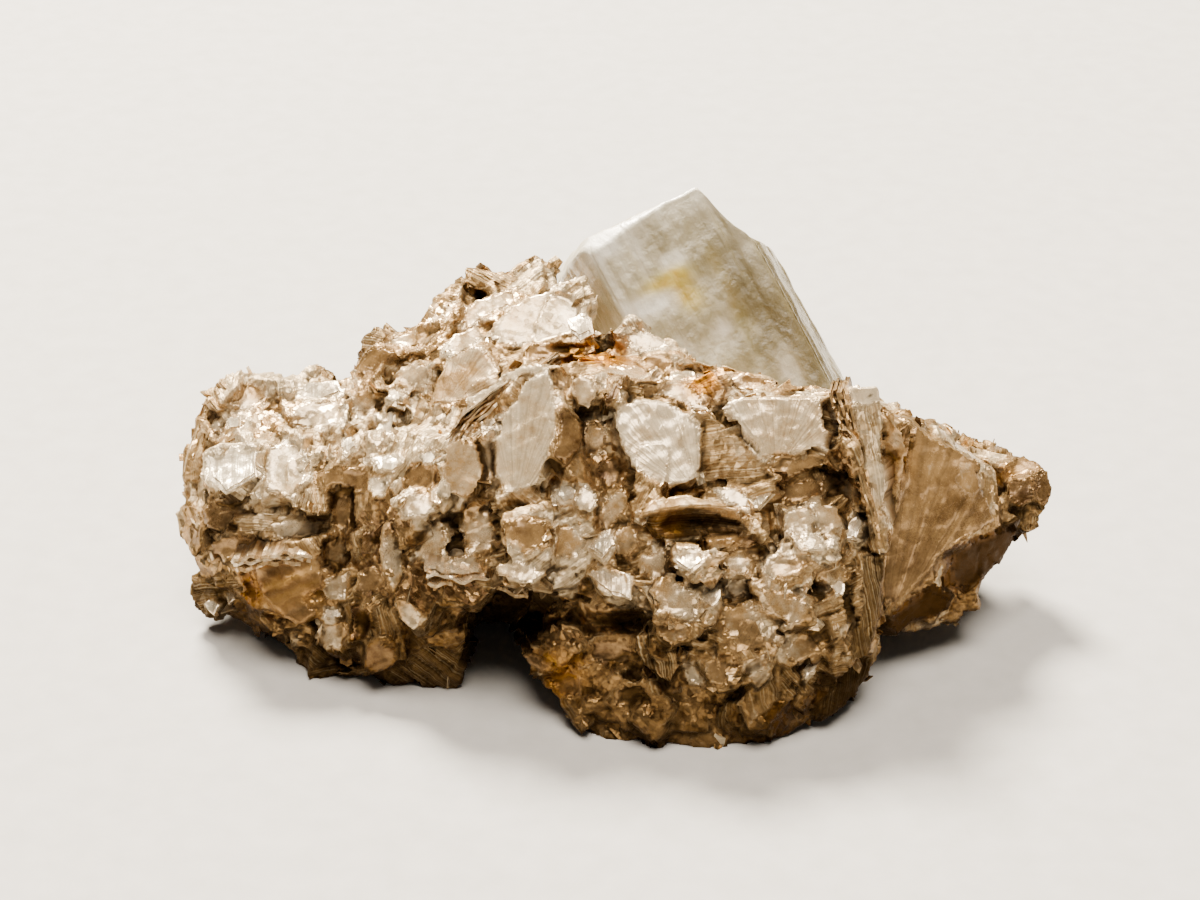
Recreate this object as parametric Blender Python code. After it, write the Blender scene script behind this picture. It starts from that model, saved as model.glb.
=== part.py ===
"""A goshenite (colourless beryl) crystal standing out of a lump of muscovite mica.

Two pieces: the lump of mica books, grown together into one solid, and the six-sided beryl
prism whose root sits in a socket in it.  Lengths are in millimetres until the meshes are
made, which are in metres, +Z up.  The origin is the middle of the specimen's box, at the
flat feet that it rests on.
"""
import math
import random

import bmesh
import bpy
from mathutils import Matrix, Vector

MM = 0.001
SEED = 41
SLAB_WIDTH = 90.0            # of the block that trims the underside, wider than the lump

# --- driving dimensions, in millimetres ------------------------------------------------

BOX_MIDDLE = (-0.2, 2.4, 0.0)            # of the finished specimen, in the coordinates used below
FIT_GAP = 0.3                # clearance between the prism and its socket

# beryl prism: its long axis leans left and back, its broad face looks front and up
PRISM_CORNER = (-1.7, 9.6, 15.5)         # top left corner of the broad face
PRISM_AXIS = (-0.47, 0.50, 0.73)
PRISM_FACE_NORMAL = (0.17, -0.80, 0.66)
PRISM_LENGTH = 14.0
PRISM_DISTANCES = (2.8, 4.6, 4.5, 2.8, 5.0, 5.1)     # axis to each face, round from the broad one
STRIATION_DEPTH = 0.14
GROOVE_SPAN = (0.35, 0.95)               # width of each growth groove along a side
GROOVE_APART = (0.15, 0.8)
GROOVE_WALL = (0.06, 0.05)               # width of the steps down and up
GROOVE_FLOOR = 0.9                       # the far side of a groove, of its depth
FIRST_GROOVE = 0.35                      # from the corner where a side starts
LAST_GROOVE = 0.9                        # from the corner where it ends
CORNER_NUDGE = 0.01                      # keeps the points of a corner apart
SOCKET_ABOVE = 3.0                       # the socket's tool reaches past the prism's top

# irregular outline of a mica book
CORNER_SWING = 0.3                       # of the angle between two corners
CORNER_REACH = (0.76, 1.16)              # of half the book's width
STEP_SHRINK = (0.74, 0.88)               # width of an upper plate, of the one below it

# --- helpers ----------------------------------------------------------------------------


def clear_scene():
    for old in list(bpy.data.objects):
        bpy.data.objects.remove(old, do_unlink=True)


def material(name, colour, roughness, metallic=0.0, transmission=0.0, ior=1.5):
    made = bpy.data.materials.new(name)
    made.use_nodes = True
    shader = made.node_tree.nodes["Principled BSDF"]
    shader.inputs["Base Color"].default_value = (*colour, 1.0)
    shader.inputs["Roughness"].default_value = roughness
    shader.inputs["Metallic"].default_value = metallic
    shader.inputs["Transmission Weight"].default_value = transmission
    shader.inputs["IOR"].default_value = ior
    return made


def new_object(name, form):
    """Turn a bmesh in millimetres into an object in metres."""
    bmesh.ops.scale(form, vec=(MM, MM, MM), verts=form.verts)
    mesh = bpy.data.meshes.new(name)
    form.to_mesh(mesh)
    form.free()
    made = bpy.data.objects.new(name, mesh)
    bpy.context.scene.collection.objects.link(made)
    return made


def hull(form, points):
    """Add the convex lump around a few corner points."""
    corners = [form.verts.new(point) for point in points]
    made = bmesh.ops.convex_hull(form, input=corners)
    inside = [item for item in made["geom_interior"] if isinstance(item, bmesh.types.BMVert)]
    bmesh.ops.delete(form, geom=inside, context="VERTS")


def plane_axes(normal, spin):
    """Two unit axes in the plane across a normal, turned by spin degrees."""
    up = Vector(normal).normalized()
    across = up.orthogonal().normalized()
    across = Matrix.Rotation(math.radians(spin), 3, up) @ across
    return across, up.cross(across), up


def ring(form, centre, axes, outline, scale, height):
    across, along, up = axes
    base = centre + up * height
    return [form.verts.new(base + across * (x * scale) + along * (y * scale)) for x, y in outline]


def book(form, rng, centre, normal, size, thick, stretch=1.0, spin=0.0, sides=6, steps=1):
    """Add one mica book: an irregular six-sided plate, with a smaller plate for each step."""
    axes = plane_axes(normal, spin)
    outline = []
    for corner in range(sides):
        angle = math.tau * (corner + rng.uniform(-CORNER_SWING, CORNER_SWING)) / sides
        reach = size / 2 * rng.uniform(*CORNER_REACH)
        outline.append((math.cos(angle) * reach * stretch, math.sin(angle) * reach / stretch))
    centre = Vector(centre)
    rings = [ring(form, centre, axes, outline, 1.0, -thick / 2)]
    scale = 1.0
    for step in range(steps):
        height = thick * ((step + 1) / steps - 0.5)
        if step:
            scale *= rng.uniform(*STEP_SHRINK)
            rings.append(ring(form, centre, axes, outline, scale, height - thick / steps))
        rings.append(ring(form, centre, axes, outline, scale, height))
    form.faces.new(reversed(rings[0]))
    form.faces.new(rings[-1])
    for low, high in zip(rings, rings[1:]):
        for corner in range(sides):
            after = (corner + 1) % sides
            form.faces.new((low[corner], low[after], high[after], high[corner]))


def combine(target, tool, operation, own_overlaps=False):
    """Fuse or cut with an exact Boolean, apply it, and drop the tool."""
    modifier = target.modifiers.new("combine", "BOOLEAN")
    modifier.operation = operation
    modifier.solver = "EXACT"
    modifier.use_self = own_overlaps
    modifier.object = tool
    graph = bpy.context.evaluated_depsgraph_get()
    result = bpy.data.meshes.new_from_object(target.evaluated_get(graph))
    target.modifiers.clear()
    target.data = result
    bpy.data.objects.remove(tool, do_unlink=True)


# --- the lump of mica -------------------------------------------------------------------

# corner points of the convex lumps that the aggregate is made of
LUMPS = {
    "left_lobe": [
        (-18.5, 3.9, 10.4), (-15.5, 4.8, 10.1), (-20.2, 3.5, 9.6), (-12.7, -0.3, 9.2),
        (-10.4, 1.0, 9.5), (-17.9, 0.0, 9.4), (-20.8, 1.0, 7.4), (-20.5, -1.0, 3.8),
        (-19.3, -1.5, 1.2), (-17.4, -3.5, 3.7), (-14.9, -2.3, 7.7), (-14.6, -4.4, 2.0),
        (-13.1, -5.0, -0.4), (-19.3, 7.0, 7.5), (-15.0, 9.0, 8.0), (-20.0, 5.5, 3.0),
        (-16.0, 9.3, 2.0), (-9.5, 8.5, 8.5), (-17.5, 0.5, 1.2), (-17.0, 5.0, 1.6),
        (-12.0, 7.5, 1.8), (-9.0, -4.5, -0.4), (-14.6, -1.0, 0.2), (-10.0, -0.8, 0.2),
    ],
    "front_column": [
        (-10.1, -3.2, 10.0), (-8.2, -3.4, 11.6), (-8.6, -6.7, 5.8), (-12.8, -6.2, 2.7),
        (-10.2, -6.4, -0.4), (-7.5, -6.5, -0.4), (-12.5, -2.0, 9.0), (-6.8, -6.6, 5.9),
        (-13.1, -4.8, 0.8), (-11.5, 0.5, 10.6), (-6.5, 1.5, 11.0), (-12.0, -1.0, 0.3),
        (-7.0, -3.0, -0.2),
    ],
    "back_ridge": [
        (-12.6, 3.6, 11.4), (-11.9, 4.2, 12.6), (-9.4, 5.2, 13.4), (-7.4, 6.2, 14.1),
        (-3.4, 7.4, 14.3), (-8.6, -2.4, 10.6), (-4.6, -1.2, 13.2), (-11.5, 8.5, 9.5),
        (-4.5, 10.5, 11.5), (-9.5, 10.5, 4.5), (-3.0, 12.0, 4.5), (-9.5, 8.0, 2.2),
        (-3.0, 9.5, 2.0), (-1.5, 3.5, 13.9),
    ],
    "central_mass": [
        (-3.4, -1.6, 14.5), (-8.0, -3.3, 11.4), (-0.9, -1.9, 14.1), (4.6, -2.3, 13.2),
        (9.5, -2.3, 13.0), (11.3, -4.3, 10.2), (11.0, -5.2, 8.6), (-8.4, -6.6, 6.0),
        (-3.1, -6.9, 6.4), (3.6, -8.9, 6.2), (9.1, -8.4, 5.6), (11.6, -6.9, 5.4),
        (1.0, 4.6, 12.6), (7.8, 1.4, 11.6), (10.6, -0.6, 11.6), (-6.0, -2.0, 5.0),
        (8.0, 0.0, 4.0),
    ],
    "bulge": [
        (10.6, -8.8, 1.7), (7.8, -10.4, 0.2), (3.7, -11.3, -0.4), (0.1, -10.5, -0.4),
        (-3.5, -8.8, 2.0), (-5.0, -7.0, 3.2), (-0.9, -8.2, 6.0), (3.6, -9.4, 5.8),
        (9.1, -8.7, 5.3), (11.6, -7.3, 5.0), (12.3, -6.8, 2.4), (-3.5, -4.0, 5.5),
        (7.4, -9.8, -0.4), (9.5, -5.0, 0.4), (-1.6, -5.5, 0.3), (-0.4, -8.8, -0.4),
        (11.4, -8.0, 1.5), (5.0, -6.0, -0.3),
    ],
    "heart": [
        (-9.0, -2.4, 3.0), (-10.0, 6.5, 1.8), (8.5, -5.0, 1.6), (10.8, 6.0, 1.6),
        (-6.6, -2.2, 0.9), (-3.2, -2.4, 0.9), (-7.5, -3.2, 5.2), (-2.4, -3.4, 5.8),
        (-5.0, 11.0, 1.4), (5.0, 11.5, 1.2), (-6.0, 3.0, 12.0), (2.0, 6.5, 11.0),
        (9.5, 3.5, 9.4), (7.0, 10.0, 7.0), (-3.0, 12.2, 6.5), (3.0, 12.8, 5.0),
        (12.0, 2.0, 3.0),
    ],
    "back_foot": [
        (-1.0, 8.0, -0.4), (6.4, 8.6, -0.4), (4.6, 4.6, -0.4), (0.4, 11.0, -0.4),
        (5.2, 11.2, -0.4), (-2.6, 6.0, 2.4), (8.0, 6.4, 2.4), (-2.0, 11.8, 2.6),
        (7.4, 11.2, 2.6), (2.0, 3.0, 2.4), (2.6, 12.4, 2.4),
    ],
    "right_block": [
        (11.4, -2.4, 11.6), (13.7, -0.4, 11.2), (14.3, -0.8, 10.6), (18.1, 1.0, 7.6),
        (18.2, -1.0, 6.0), (15.8, -2.6, 5.2), (12.2, -5.9, 4.2), (12.4, -4.6, 8.0),
        (18.6, -0.4, 4.0), (16.8, -3.0, 2.3), (15.2, -4.0, 1.8), (13.6, -4.9, 2.0), (12.5, 5.0, 9.4),
        (17.2, 5.0, 6.6), (16.4, 5.5, 2.4), (10.5, 7.0, 1.2), (9.5, 0.0, 11.5),
        (9.5, -2.0, 1.5),
    ],
    "back_right": [
        (7.5, 12.4, 2.4), (12.5, 10.4, 2.0), (12.2, 9.6, 5.6), (13.4, 6.0, 7.4),
        (8.6, 11.4, 5.8), (16.0, 6.5, 3.0), (10.0, 4.0, 8.8), (6.5, 9.5, 7.4),
        (9.0, 6.0, 1.4), (13.5, 4.5, 1.6),
    ],
    "nub": [
        (20.8, 1.4, 6.1), (19.4, 2.2, 7.5), (20.5, 0.8, 4.9), (18.2, 2.2, 7.4),
        (18.2, 5.0, 6.8), (20.2, 4.0, 6.2), (18.8, 4.4, 3.2), (16.8, 1.0, 3.0),
        (19.4, 1.6, 3.4), (16.0, 3.0, 6.5),
    ],
}

# main books: centre, face normal, width, thickness, stretch, spin, sides, steps
BOOKS = [
    # pale flakes and plates across the front of the crown
    ((-3.6, -3.2, 12.9), (-0.35, -0.75, 0.56), 4.6, 1.5, 1.25, 70, 6, 2),
    ((2.0, -3.6, 12.2), (0.05, -0.80, 0.60), 4.8, 1.4, 1.05, 10, 6, 2),
    ((7.4, -3.0, 12.2), (0.05, -0.90, 0.43), 4.9, 1.8, 1.15, 0, 4, 2),
    ((-1.2, -2.6, 13.7), (0.30, -0.50, 0.80), 2.2, 0.8, 1.0, 20, 6, 1),
    ((0.2, -2.6, 13.4), (0.85, -0.35, 0.40), 2.4, 1.0, 1.1, 60, 5, 1),
    ((-7.4, -4.6, 10.2), (-0.45, -0.80, 0.40), 3.6, 1.5, 1.2, 80, 7, 2),
    ((-9.4, -5.0, 8.6), (-0.30, -0.80, 0.52), 3.2, 1.6, 1.1, 15, 4, 2),
    ((-5.6, -1.4, 13.2), (-0.55, -0.25, 0.80), 4.2, 1.2, 1.3, 120, 6, 2),
    # the brow over the front hollow and the lips below it
    ((4.4, -7.0, 9.3), (0.10, -0.35, 0.93), 5.6, 1.0, 1.35, 5, 6, 2),
    ((8.8, -6.6, 8.6), (0.35, -0.40, 0.85), 3.8, 1.0, 1.2, 30, 6, 2),
    ((-0.6, -7.4, 7.2), (-0.35, -0.60, 0.72), 3.4, 1.2, 1.2, 60, 5, 2),
    ((5.8, -9.6, 5.0), (0.05, -0.75, 0.66), 4.4, 1.3, 1.3, 0, 6, 2),
    ((9.4, -8.6, 5.2), (0.40, -0.70, 0.60), 3.2, 1.2, 1.1, 30, 6, 2),
    ((2.0, -9.4, 4.2), (-0.15, -0.85, 0.50), 3.6, 1.3, 1.2, 50, 5, 2),
    ((-2.6, -8.2, 3.4), (-0.55, -0.75, 0.35), 3.6, 1.4, 1.2, 20, 6, 2),
    ((6.6, -10.2, 2.4), (0.10, -0.90, 0.42), 4.0, 1.2, 1.3, 10, 6, 2),
    ((1.4, -10.4, 1.8), (-0.20, -0.90, 0.38), 3.6, 1.2, 1.2, 40, 5, 2),
    # ragged lip of the arch between the bulge and the left foot
    ((-6.4, -6.6, 6.6), (-0.10, -0.80, 0.60), 3.4, 1.2, 1.3, 0, 6, 2),
    ((-3.4, -6.9, 7.2), (0.10, -0.70, 0.70), 3.2, 1.1, 1.2, 40, 5, 2),
    ((-9.2, -6.4, 5.2), (-0.30, -0.85, 0.42), 3.2, 1.3, 1.2, 70, 6, 2),
    ((-10.4, -6.2, 2.6), (-0.10, -0.95, 0.30), 3.4, 1.4, 1.1, 15, 4, 2),
    ((-12.8, -5.6, 2.4), (-0.55, -0.75, 0.37), 3.0, 1.3, 1.1, 40, 4, 2),
    # left lobe
    ((-18.3, -0.6, 8.6), (-0.30, -0.50, 0.81), 3.6, 1.4, 1.2, 10, 5, 2),
    ((-15.2, 3.6, 10.0), (0.05, -0.25, 0.97), 3.6, 1.3, 1.3, 20, 6, 2),
    ((-18.8, 3.4, 10.2), (-0.35, -0.20, 0.91), 2.8, 1.2, 1.0, 50, 6, 2),
    ((-16.4, -3.4, 4.4), (-0.35, -0.80, 0.48), 4.4, 1.2, 1.2, 75, 6, 2),
    ((-20.0, -0.4, 5.4), (-0.75, -0.60, 0.28), 3.4, 1.3, 1.1, 30, 6, 2),
    ((-12.0, -1.6, 9.2), (-0.10, -0.60, 0.79), 3.2, 1.4, 1.2, 45, 4, 2),
    ((-11.6, 0.6, 10.4), (-0.20, -0.35, 0.91), 2.6, 1.2, 1.1, 10, 5, 2),
    ((-14.6, -3.4, 6.0), (-0.10, -0.80, 0.59), 3.4, 1.3, 1.3, 10, 5, 2),
    ((-19.6, -1.2, 1.9), (-0.65, -0.70, 0.10), 2.4, 1.1, 1.1, 60, 5, 1),
    # slope of the back ridge
    ((-11.6, 3.4, 12.2), (-0.60, -0.35, 0.72), 3.4, 1.3, 1.4, 30, 6, 2),
    ((-8.4, 4.4, 13.6), (-0.30, -0.35, 0.89), 4.2, 1.3, 1.5, 15, 6, 2),
    ((-5.0, 5.4, 14.4), (-0.20, -0.35, 0.91), 4.4, 1.3, 1.4, 5, 6, 2),
    ((-6.8, 1.2, 12.9), (-0.15, -0.60, 0.79), 4.2, 1.2, 1.3, 100, 7, 2),
    ((-2.6, 3.0, 14.3), (0.00, -0.55, 0.83), 4.8, 1.2, 1.5, 15, 6, 2),
    ((0.6, 3.4, 13.3), (0.20, -0.75, 0.63), 3.2, 1.2, 1.3, 10, 5, 2),
    # fan of sheets seen edge on, and the straight-topped plates beside it
    ((10.9, -3.0, 11.6), (0.90, -0.40, -0.10), 4.4, 1.0, 1.0, 0, 5, 2),
    ((11.4, -3.4, 10.6), (0.97, -0.20, 0.10), 5.6, 0.9, 0.8, 20, 6, 2),
    ((12.1, -3.4, 9.6), (0.93, -0.20, 0.30), 5.6, 0.8, 0.8, 60, 6, 1),
    ((12.9, -1.8, 9.8), (0.86, -0.15, 0.48), 5.0, 0.9, 0.9, 40, 5, 2),
    ((11.6, -6.6, 5.2), (0.92, -0.38, 0.05), 5.2, 1.1, 0.8, 90, 6, 2),
    ((10.8, -8.2, 3.0), (0.84, -0.53, -0.10), 4.2, 1.0, 0.9, 30, 6, 2),
    # broken plates between the brow and the crown
    ((1.4, -5.6, 10.6), (-0.25, -0.75, 0.61), 3.4, 1.2, 1.3, 35, 5, 2),
    ((-1.4, -4.6, 10.6), (0.35, -0.75, 0.56), 3.2, 1.2, 1.2, 65, 5, 2),
    ((-4.4, -5.4, 9.6), (0.25, -0.88, 0.40), 3.4, 1.2, 1.2, 10, 6, 2),
    ((6.4, -4.6, 11.0), (-0.10, -0.60, 0.79), 4.2, 1.0, 1.5, 0, 6, 2),
    # facets that cover the middle of the front
    ((-2.0, -6.4, 8.3), (-0.17, -0.84, 0.52), 3.6, 1.2, 1.2, 30, 5, 1),
    ((1.0, -7.2, 7.6), (-0.35, -0.75, 0.55), 3.4, 1.2, 1.1, 60, 5, 1),
    ((3.6, -8.8, 7.0), (0.20, -0.74, 0.64), 3.8, 1.2, 1.3, 10, 6, 1),
    ((1.9, -8.0, 6.2), (-0.05, -0.90, 0.42), 3.2, 1.2, 1.3, 75, 5, 1),
    ((-4.0, -7.1, 8.6), (0.20, -0.75, 0.62), 3.2, 1.1, 1.2, 20, 6, 1),
    ((7.2, -8.4, 6.9), (0.15, -0.75, 0.64), 3.4, 1.2, 1.2, 45, 5, 1),
    ((3.9, -4.0, 12.2), (0.25, -0.75, 0.60), 2.6, 1.2, 1.2, 40, 5, 1),
    ((-17.2, -1.9, 6.6), (0.11, -0.85, 0.51), 3.6, 1.1, 1.4, 5, 5, 1),
    ((-14.0, -1.8, 8.2), (-0.20, -0.70, 0.68), 3.4, 1.2, 1.2, 60, 5, 1),
    ((-13.2, -4.4, 4.4), (-0.10, -0.92, 0.38), 3.2, 1.2, 1.2, 20, 5, 1),
    # right end block and nub
    ((18.0, 0.4, 4.6), (0.60, -0.75, -0.20), 3.4, 1.3, 1.1, 40, 5, 2),
    ((19.8, 1.6, 6.2), (0.55, -0.55, 0.62), 2.4, 1.2, 1.0, 10, 6, 2),
    ((14.4, -3.8, 3.6), (0.35, -0.88, 0.25), 3.4, 1.2, 1.1, 65, 5, 2),
    # back of the specimen
    ((-14.0, 8.4, 6.0), (-0.25, 0.90, 0.35), 4.8, 1.4, 1.2, 30, 6, 2),
    ((-18.6, 6.4, 5.0), (-0.75, 0.55, 0.35), 4.0, 1.4, 1.1, 80, 5, 2),
    ((-7.6, 10.2, 7.6), (-0.20, 0.85, 0.48), 5.0, 1.5, 1.2, 10, 6, 2),
    ((-1.0, 12.0, 6.4), (0.05, 0.95, 0.30), 4.8, 1.4, 1.2, 60, 6, 2),
    ((4.6, 12.0, 4.4), (0.25, 0.90, 0.35), 4.6, 1.4, 1.1, 30, 5, 2),
    ((9.4, 8.4, 4.4), (0.55, 0.75, 0.36), 4.8, 1.4, 1.2, 15, 6, 2),
    ((13.6, 6.4, 4.2), (0.30, 0.90, 0.30), 4.6, 1.3, 1.1, 70, 6, 2),
    ((-4.0, 8.8, 12.2), (-0.10, 0.55, 0.83), 4.2, 1.3, 1.2, 40, 6, 2),
    ((-11.0, 8.0, 9.8), (-0.45, 0.60, 0.66), 4.2, 1.4, 1.2, 20, 5, 2),
    ((-3.0, 10.8, 2.4), (-0.15, 0.95, 0.20), 4.4, 1.4, 1.1, 90, 6, 2),
    ((-10.6, 8.6, 2.6), (-0.30, 0.90, 0.10), 4.2, 1.4, 1.2, 50, 5, 2),
]


# how the smaller books are strewn over the lumps, in millimetres and degrees
STREWN_BOOKS = 168
STREWN_SIZE = (1.6, 3.8)
STREWN_THICK = (0.5, 1.4)
STREWN_TILT = (4.0, 62.0)
STREWN_STRETCH = (0.9, 1.35)
STREWN_SIDES = (4, 5, 5, 6)
STREWN_SINK = 0.36           # of its width, for a book that stands on edge
SPOTS_A_BOOK = 3             # places tried for each book
KEEP_CLEAR = 1.5             # from the middle of a main book, so that its face stays open
KEEP_OPEN = (                # middle and radius of the hollows that no small book fills
    ((-5.6, -5.2, 3.4), 2.6),
    ((4.2, -8.2, 8.4), 1.8),
)

# hollows: the deep shade under the brow, and the crevice at the foot of the prism
HOLLOWS = {
    "under_brow": [
        (1.6, -7.6, 8.9), (6.8, -7.8, 8.7), (4.0, -8.6, 9.5), (2.2, -5.2, 8.7),
        (6.4, -5.4, 8.6), (4.2, -5.0, 9.3), (2.4, -9.0, 8.0), (6.4, -9.2, 7.8),
        (4.2, -6.0, 7.9),
    ],
    "crevice": [
        (3.2, 4.4, 13.0), (6.6, 3.2, 12.6), (3.0, 5.6, 13.2), (6.8, 4.4, 12.4),
        (3.8, 4.6, 10.8), (6.2, 3.8, 10.2),
    ],
}


def make_core():
    """Fuse the big lumps of the aggregate into one solid."""
    lumps = list(LUMPS.values())
    first = bmesh.new()
    hull(first, lumps[0])
    core = new_object("mica_matrix", first)
    for points in lumps[1:]:
        form = bmesh.new()
        hull(form, points)
        combine(core, new_object("lump", form), "UNION")
    return core


def surface_spots(core, rng, count):
    """Pick points spread evenly over the lumps, each with its face normal."""
    core.data.calc_loop_triangles()
    triangles = list(core.data.loop_triangles)
    corners = [vertex.co / MM for vertex in core.data.vertices]
    picked = rng.choices(triangles, weights=[triangle.area for triangle in triangles], k=count)
    for triangle in picked:
        a, b, c = (corners[index] for index in triangle.vertices)
        u, v = sorted((rng.random(), rng.random()))
        yield a * u + b * (v - u) + c * (1 - v), triangle.normal.copy()


def strew_books(core, form, rng):
    """Half sink small tilted books all over the lumps."""
    centres = [Vector(row[0]) for row in BOOKS]
    placed = 0
    for spot, normal in surface_spots(core, rng, STREWN_BOOKS * SPOTS_A_BOOK):
        tilt = math.radians(rng.uniform(*STREWN_TILT))
        turn = rng.uniform(0.0, math.tau)
        size = rng.uniform(*STREWN_SIZE)
        thick = rng.uniform(*STREWN_THICK)
        across = Matrix.Rotation(turn, 3, normal) @ normal.orthogonal().normalized()
        facing = (normal * math.cos(tilt) + across * math.sin(tilt)).normalized()
        in_hollow = any((spot - Vector(middle)).length < radius for middle, radius in KEEP_OPEN)
        crowded = min((spot - centre).length for centre in centres) < KEEP_CLEAR
        if placed == STREWN_BOOKS or in_hollow or crowded:
            continue
        centre = spot - normal * (size * STREWN_SINK * math.sin(tilt))
        stretch = rng.uniform(*STREWN_STRETCH)
        spin = rng.uniform(0.0, 360.0)
        book(form, rng, centre, facing, size, thick, stretch, spin, rng.choice(STREWN_SIDES))
        placed += 1


# --- the beryl prism --------------------------------------------------------------------


def prism_axes():
    """Sideways, outward and long axes of the prism."""
    long_axis = Vector(PRISM_AXIS).normalized()
    outward = Vector(PRISM_FACE_NORMAL)
    outward = (outward - long_axis * outward.dot(long_axis)).normalized()
    return long_axis.cross(outward), outward, long_axis


def hexagon(distances):
    """Corners of a six-sided section whose sides lie at these distances from the axis."""
    corners = []
    for side in range(6):
        near = math.radians(90 + 60 * side)
        far = near + math.radians(60)
        d_near = distances[side]
        d_far = distances[(side + 1) % 6]
        spread = math.sin(far - near)
        x = (d_near * math.sin(far) - d_far * math.sin(near)) / spread
        y = (d_far * math.cos(near) - d_near * math.cos(far)) / spread
        corners.append(Vector((x, y)))
    return corners


def along_axes(axes, parts):
    """A direction or shift given as parts of the prism's three axes."""
    return sum((axis * part for axis, part in zip(axes, parts)), Vector())


def striated_section(rng, distances):
    """The section with each side broken into long low steps, as growth leaves on beryl."""
    corners = hexagon(distances)
    outline = []
    for side in range(6):
        start = corners[side - 1]
        end = corners[side]
        along = (end - start).normalized()
        inward = Vector((-along.y, along.x))
        width = (end - start).length
        place = FIRST_GROOVE
        outline.append(start + along * CORNER_NUDGE)
        while place < width - LAST_GROOVE:
            depth = rng.uniform(0.2, 1.0) * STRIATION_DEPTH
            span = rng.uniform(*GROOVE_SPAN)
            outline.append(start + along * place)
            outline.append(start + along * (place + GROOVE_WALL[0]) + inward * depth)
            outline.append(start + along * (place + span) + inward * depth * GROOVE_FLOOR)
            outline.append(start + along * (place + span + GROOVE_WALL[1]))
            place += span + rng.uniform(*GROOVE_APART)
    return outline


def prism_origin(axes):
    """Middle of the prism's top, found from the top left corner of its broad face."""
    sideways, outward, long_axis = axes
    corner = hexagon(PRISM_DISTANCES)[0]
    return Vector(PRISM_CORNER) - sideways * corner.x - outward * corner.y


def extrude_section(form, outline, axes, top, bottom):
    sideways, outward, long_axis = axes
    origin = prism_origin(axes)
    rings = []
    for height in (bottom, top):
        rings.append([form.verts.new(origin + sideways * x + outward * y + long_axis * height)
                      for x, y in outline])
    low, high = rings
    count = len(outline)
    for index in range(count):
        after = (index + 1) % count
        form.faces.new((low[index], low[after], high[after], high[index]))
    form.faces.new(reversed(low))
    form.faces.new(high)
    bmesh.ops.recalc_face_normals(form, faces=form.faces)


def slice_off(form, point, normal):
    """Cut a flat facet and drop what lies beyond it."""
    geometry = list(form.verts) + list(form.edges) + list(form.faces)
    cut = bmesh.ops.bisect_plane(form, geom=geometry, plane_co=point, plane_no=normal,
                                 clear_outer=True)
    edges = [item for item in cut["geom_cut"] if isinstance(item, bmesh.types.BMEdge)]
    bmesh.ops.contextual_create(form, geom=edges)


# chips and bevels of the prism's top: place in sideways, outward and long axes, and facing
TOP_FACETS = (
    ((-1.0, 2.65, -0.1), (-0.10, 0.74, 0.66)),
    ((-4.6, 0.6, -0.5), (-0.62, 0.10, 0.78)),
    ((0.4, -2.6, -0.3), (-0.10, -0.70, 0.70)),
    ((1.5, 0.0, -0.05), (0.06, -0.05, 0.99)),
)

# the corner broken off the right of the top, as a wedge in the same three axes
BROKEN_CORNER = (
    (2.7, 4.0, 0.6), (2.9, -4.0, 0.6), (3.5, 4.0, -2.7), (3.9, -4.0, -2.2),
    (4.3, 4.0, -3.7), (4.8, -4.0, -3.4), (7.0, 4.0, -5.4), (7.0, -4.0, -5.6),
    (7.0, 4.0, 0.8), (7.0, -4.0, 0.8),
)


def make_prism(rng):
    axes = prism_axes()
    form = bmesh.new()
    extrude_section(form, striated_section(rng, PRISM_DISTANCES), axes, 0.0, -PRISM_LENGTH)
    origin = prism_origin(axes)
    for place, facing in TOP_FACETS:
        slice_off(form, origin + along_axes(axes, place), along_axes(axes, facing))
    prism = new_object("goshenite_crystal", form)
    wedge = bmesh.new()
    hull(wedge, [origin + along_axes(axes, place) for place in BROKEN_CORNER])
    combine(prism, new_object("wedge", wedge), "DIFFERENCE")
    return prism


def make_socket():
    """The prism's room in the mica: the plain six-sided form, grown by the fit gap."""
    form = bmesh.new()
    grown = [distance + FIT_GAP for distance in PRISM_DISTANCES]
    extrude_section(form, hexagon(grown), prism_axes(), SOCKET_ABOVE, -PRISM_LENGTH - FIT_GAP)
    return new_object("socket", form)


def make_matrix(rng):
    core = make_core()
    form = bmesh.new()
    for centre, normal, size, thick, stretch, spin, sides, steps in BOOKS:
        book(form, rng, centre, normal, size, thick, stretch, spin, sides, steps)
    strew_books(core, form, rng)
    combine(core, new_object("books", form), "UNION", own_overlaps=True)
    for points in HOLLOWS.values():
        form = bmesh.new()
        hull(form, points)
        combine(core, new_object("hollow", form), "DIFFERENCE")
    combine(core, make_socket(), "DIFFERENCE")
    return core


def dress_feet(core):
    """Trim what reaches below height 0, which leaves flat feet."""
    slab = bmesh.new()
    bmesh.ops.create_cube(slab, size=SLAB_WIDTH)
    bmesh.ops.translate(slab, vec=(0.0, 0.0, -SLAB_WIDTH / 2), verts=slab.verts)
    combine(core, new_object("slab", slab), "DIFFERENCE")


def keep_largest_body(core):
    """Drop loose chips and sealed pockets that the Boolean steps leave."""
    form = bmesh.new()
    form.from_mesh(core.data)
    form.faces.ensure_lookup_table()
    unseen = set(form.faces)
    bodies = []
    while unseen:
        reached = {unseen.pop()}
        front = list(reached)
        while front:
            face = front.pop()
            for edge in face.edges:
                for other in edge.link_faces:
                    if other in unseen:
                        unseen.discard(other)
                        reached.add(other)
                        front.append(other)
        bodies.append(reached)
    bodies.sort(key=len, reverse=True)
    loose = [face for body in bodies[1:] for face in body]
    bmesh.ops.delete(form, geom=loose, context="FACES")
    form.to_mesh(core.data)
    form.free()
    print("bodies dropped", len(bodies) - 1)


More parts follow.
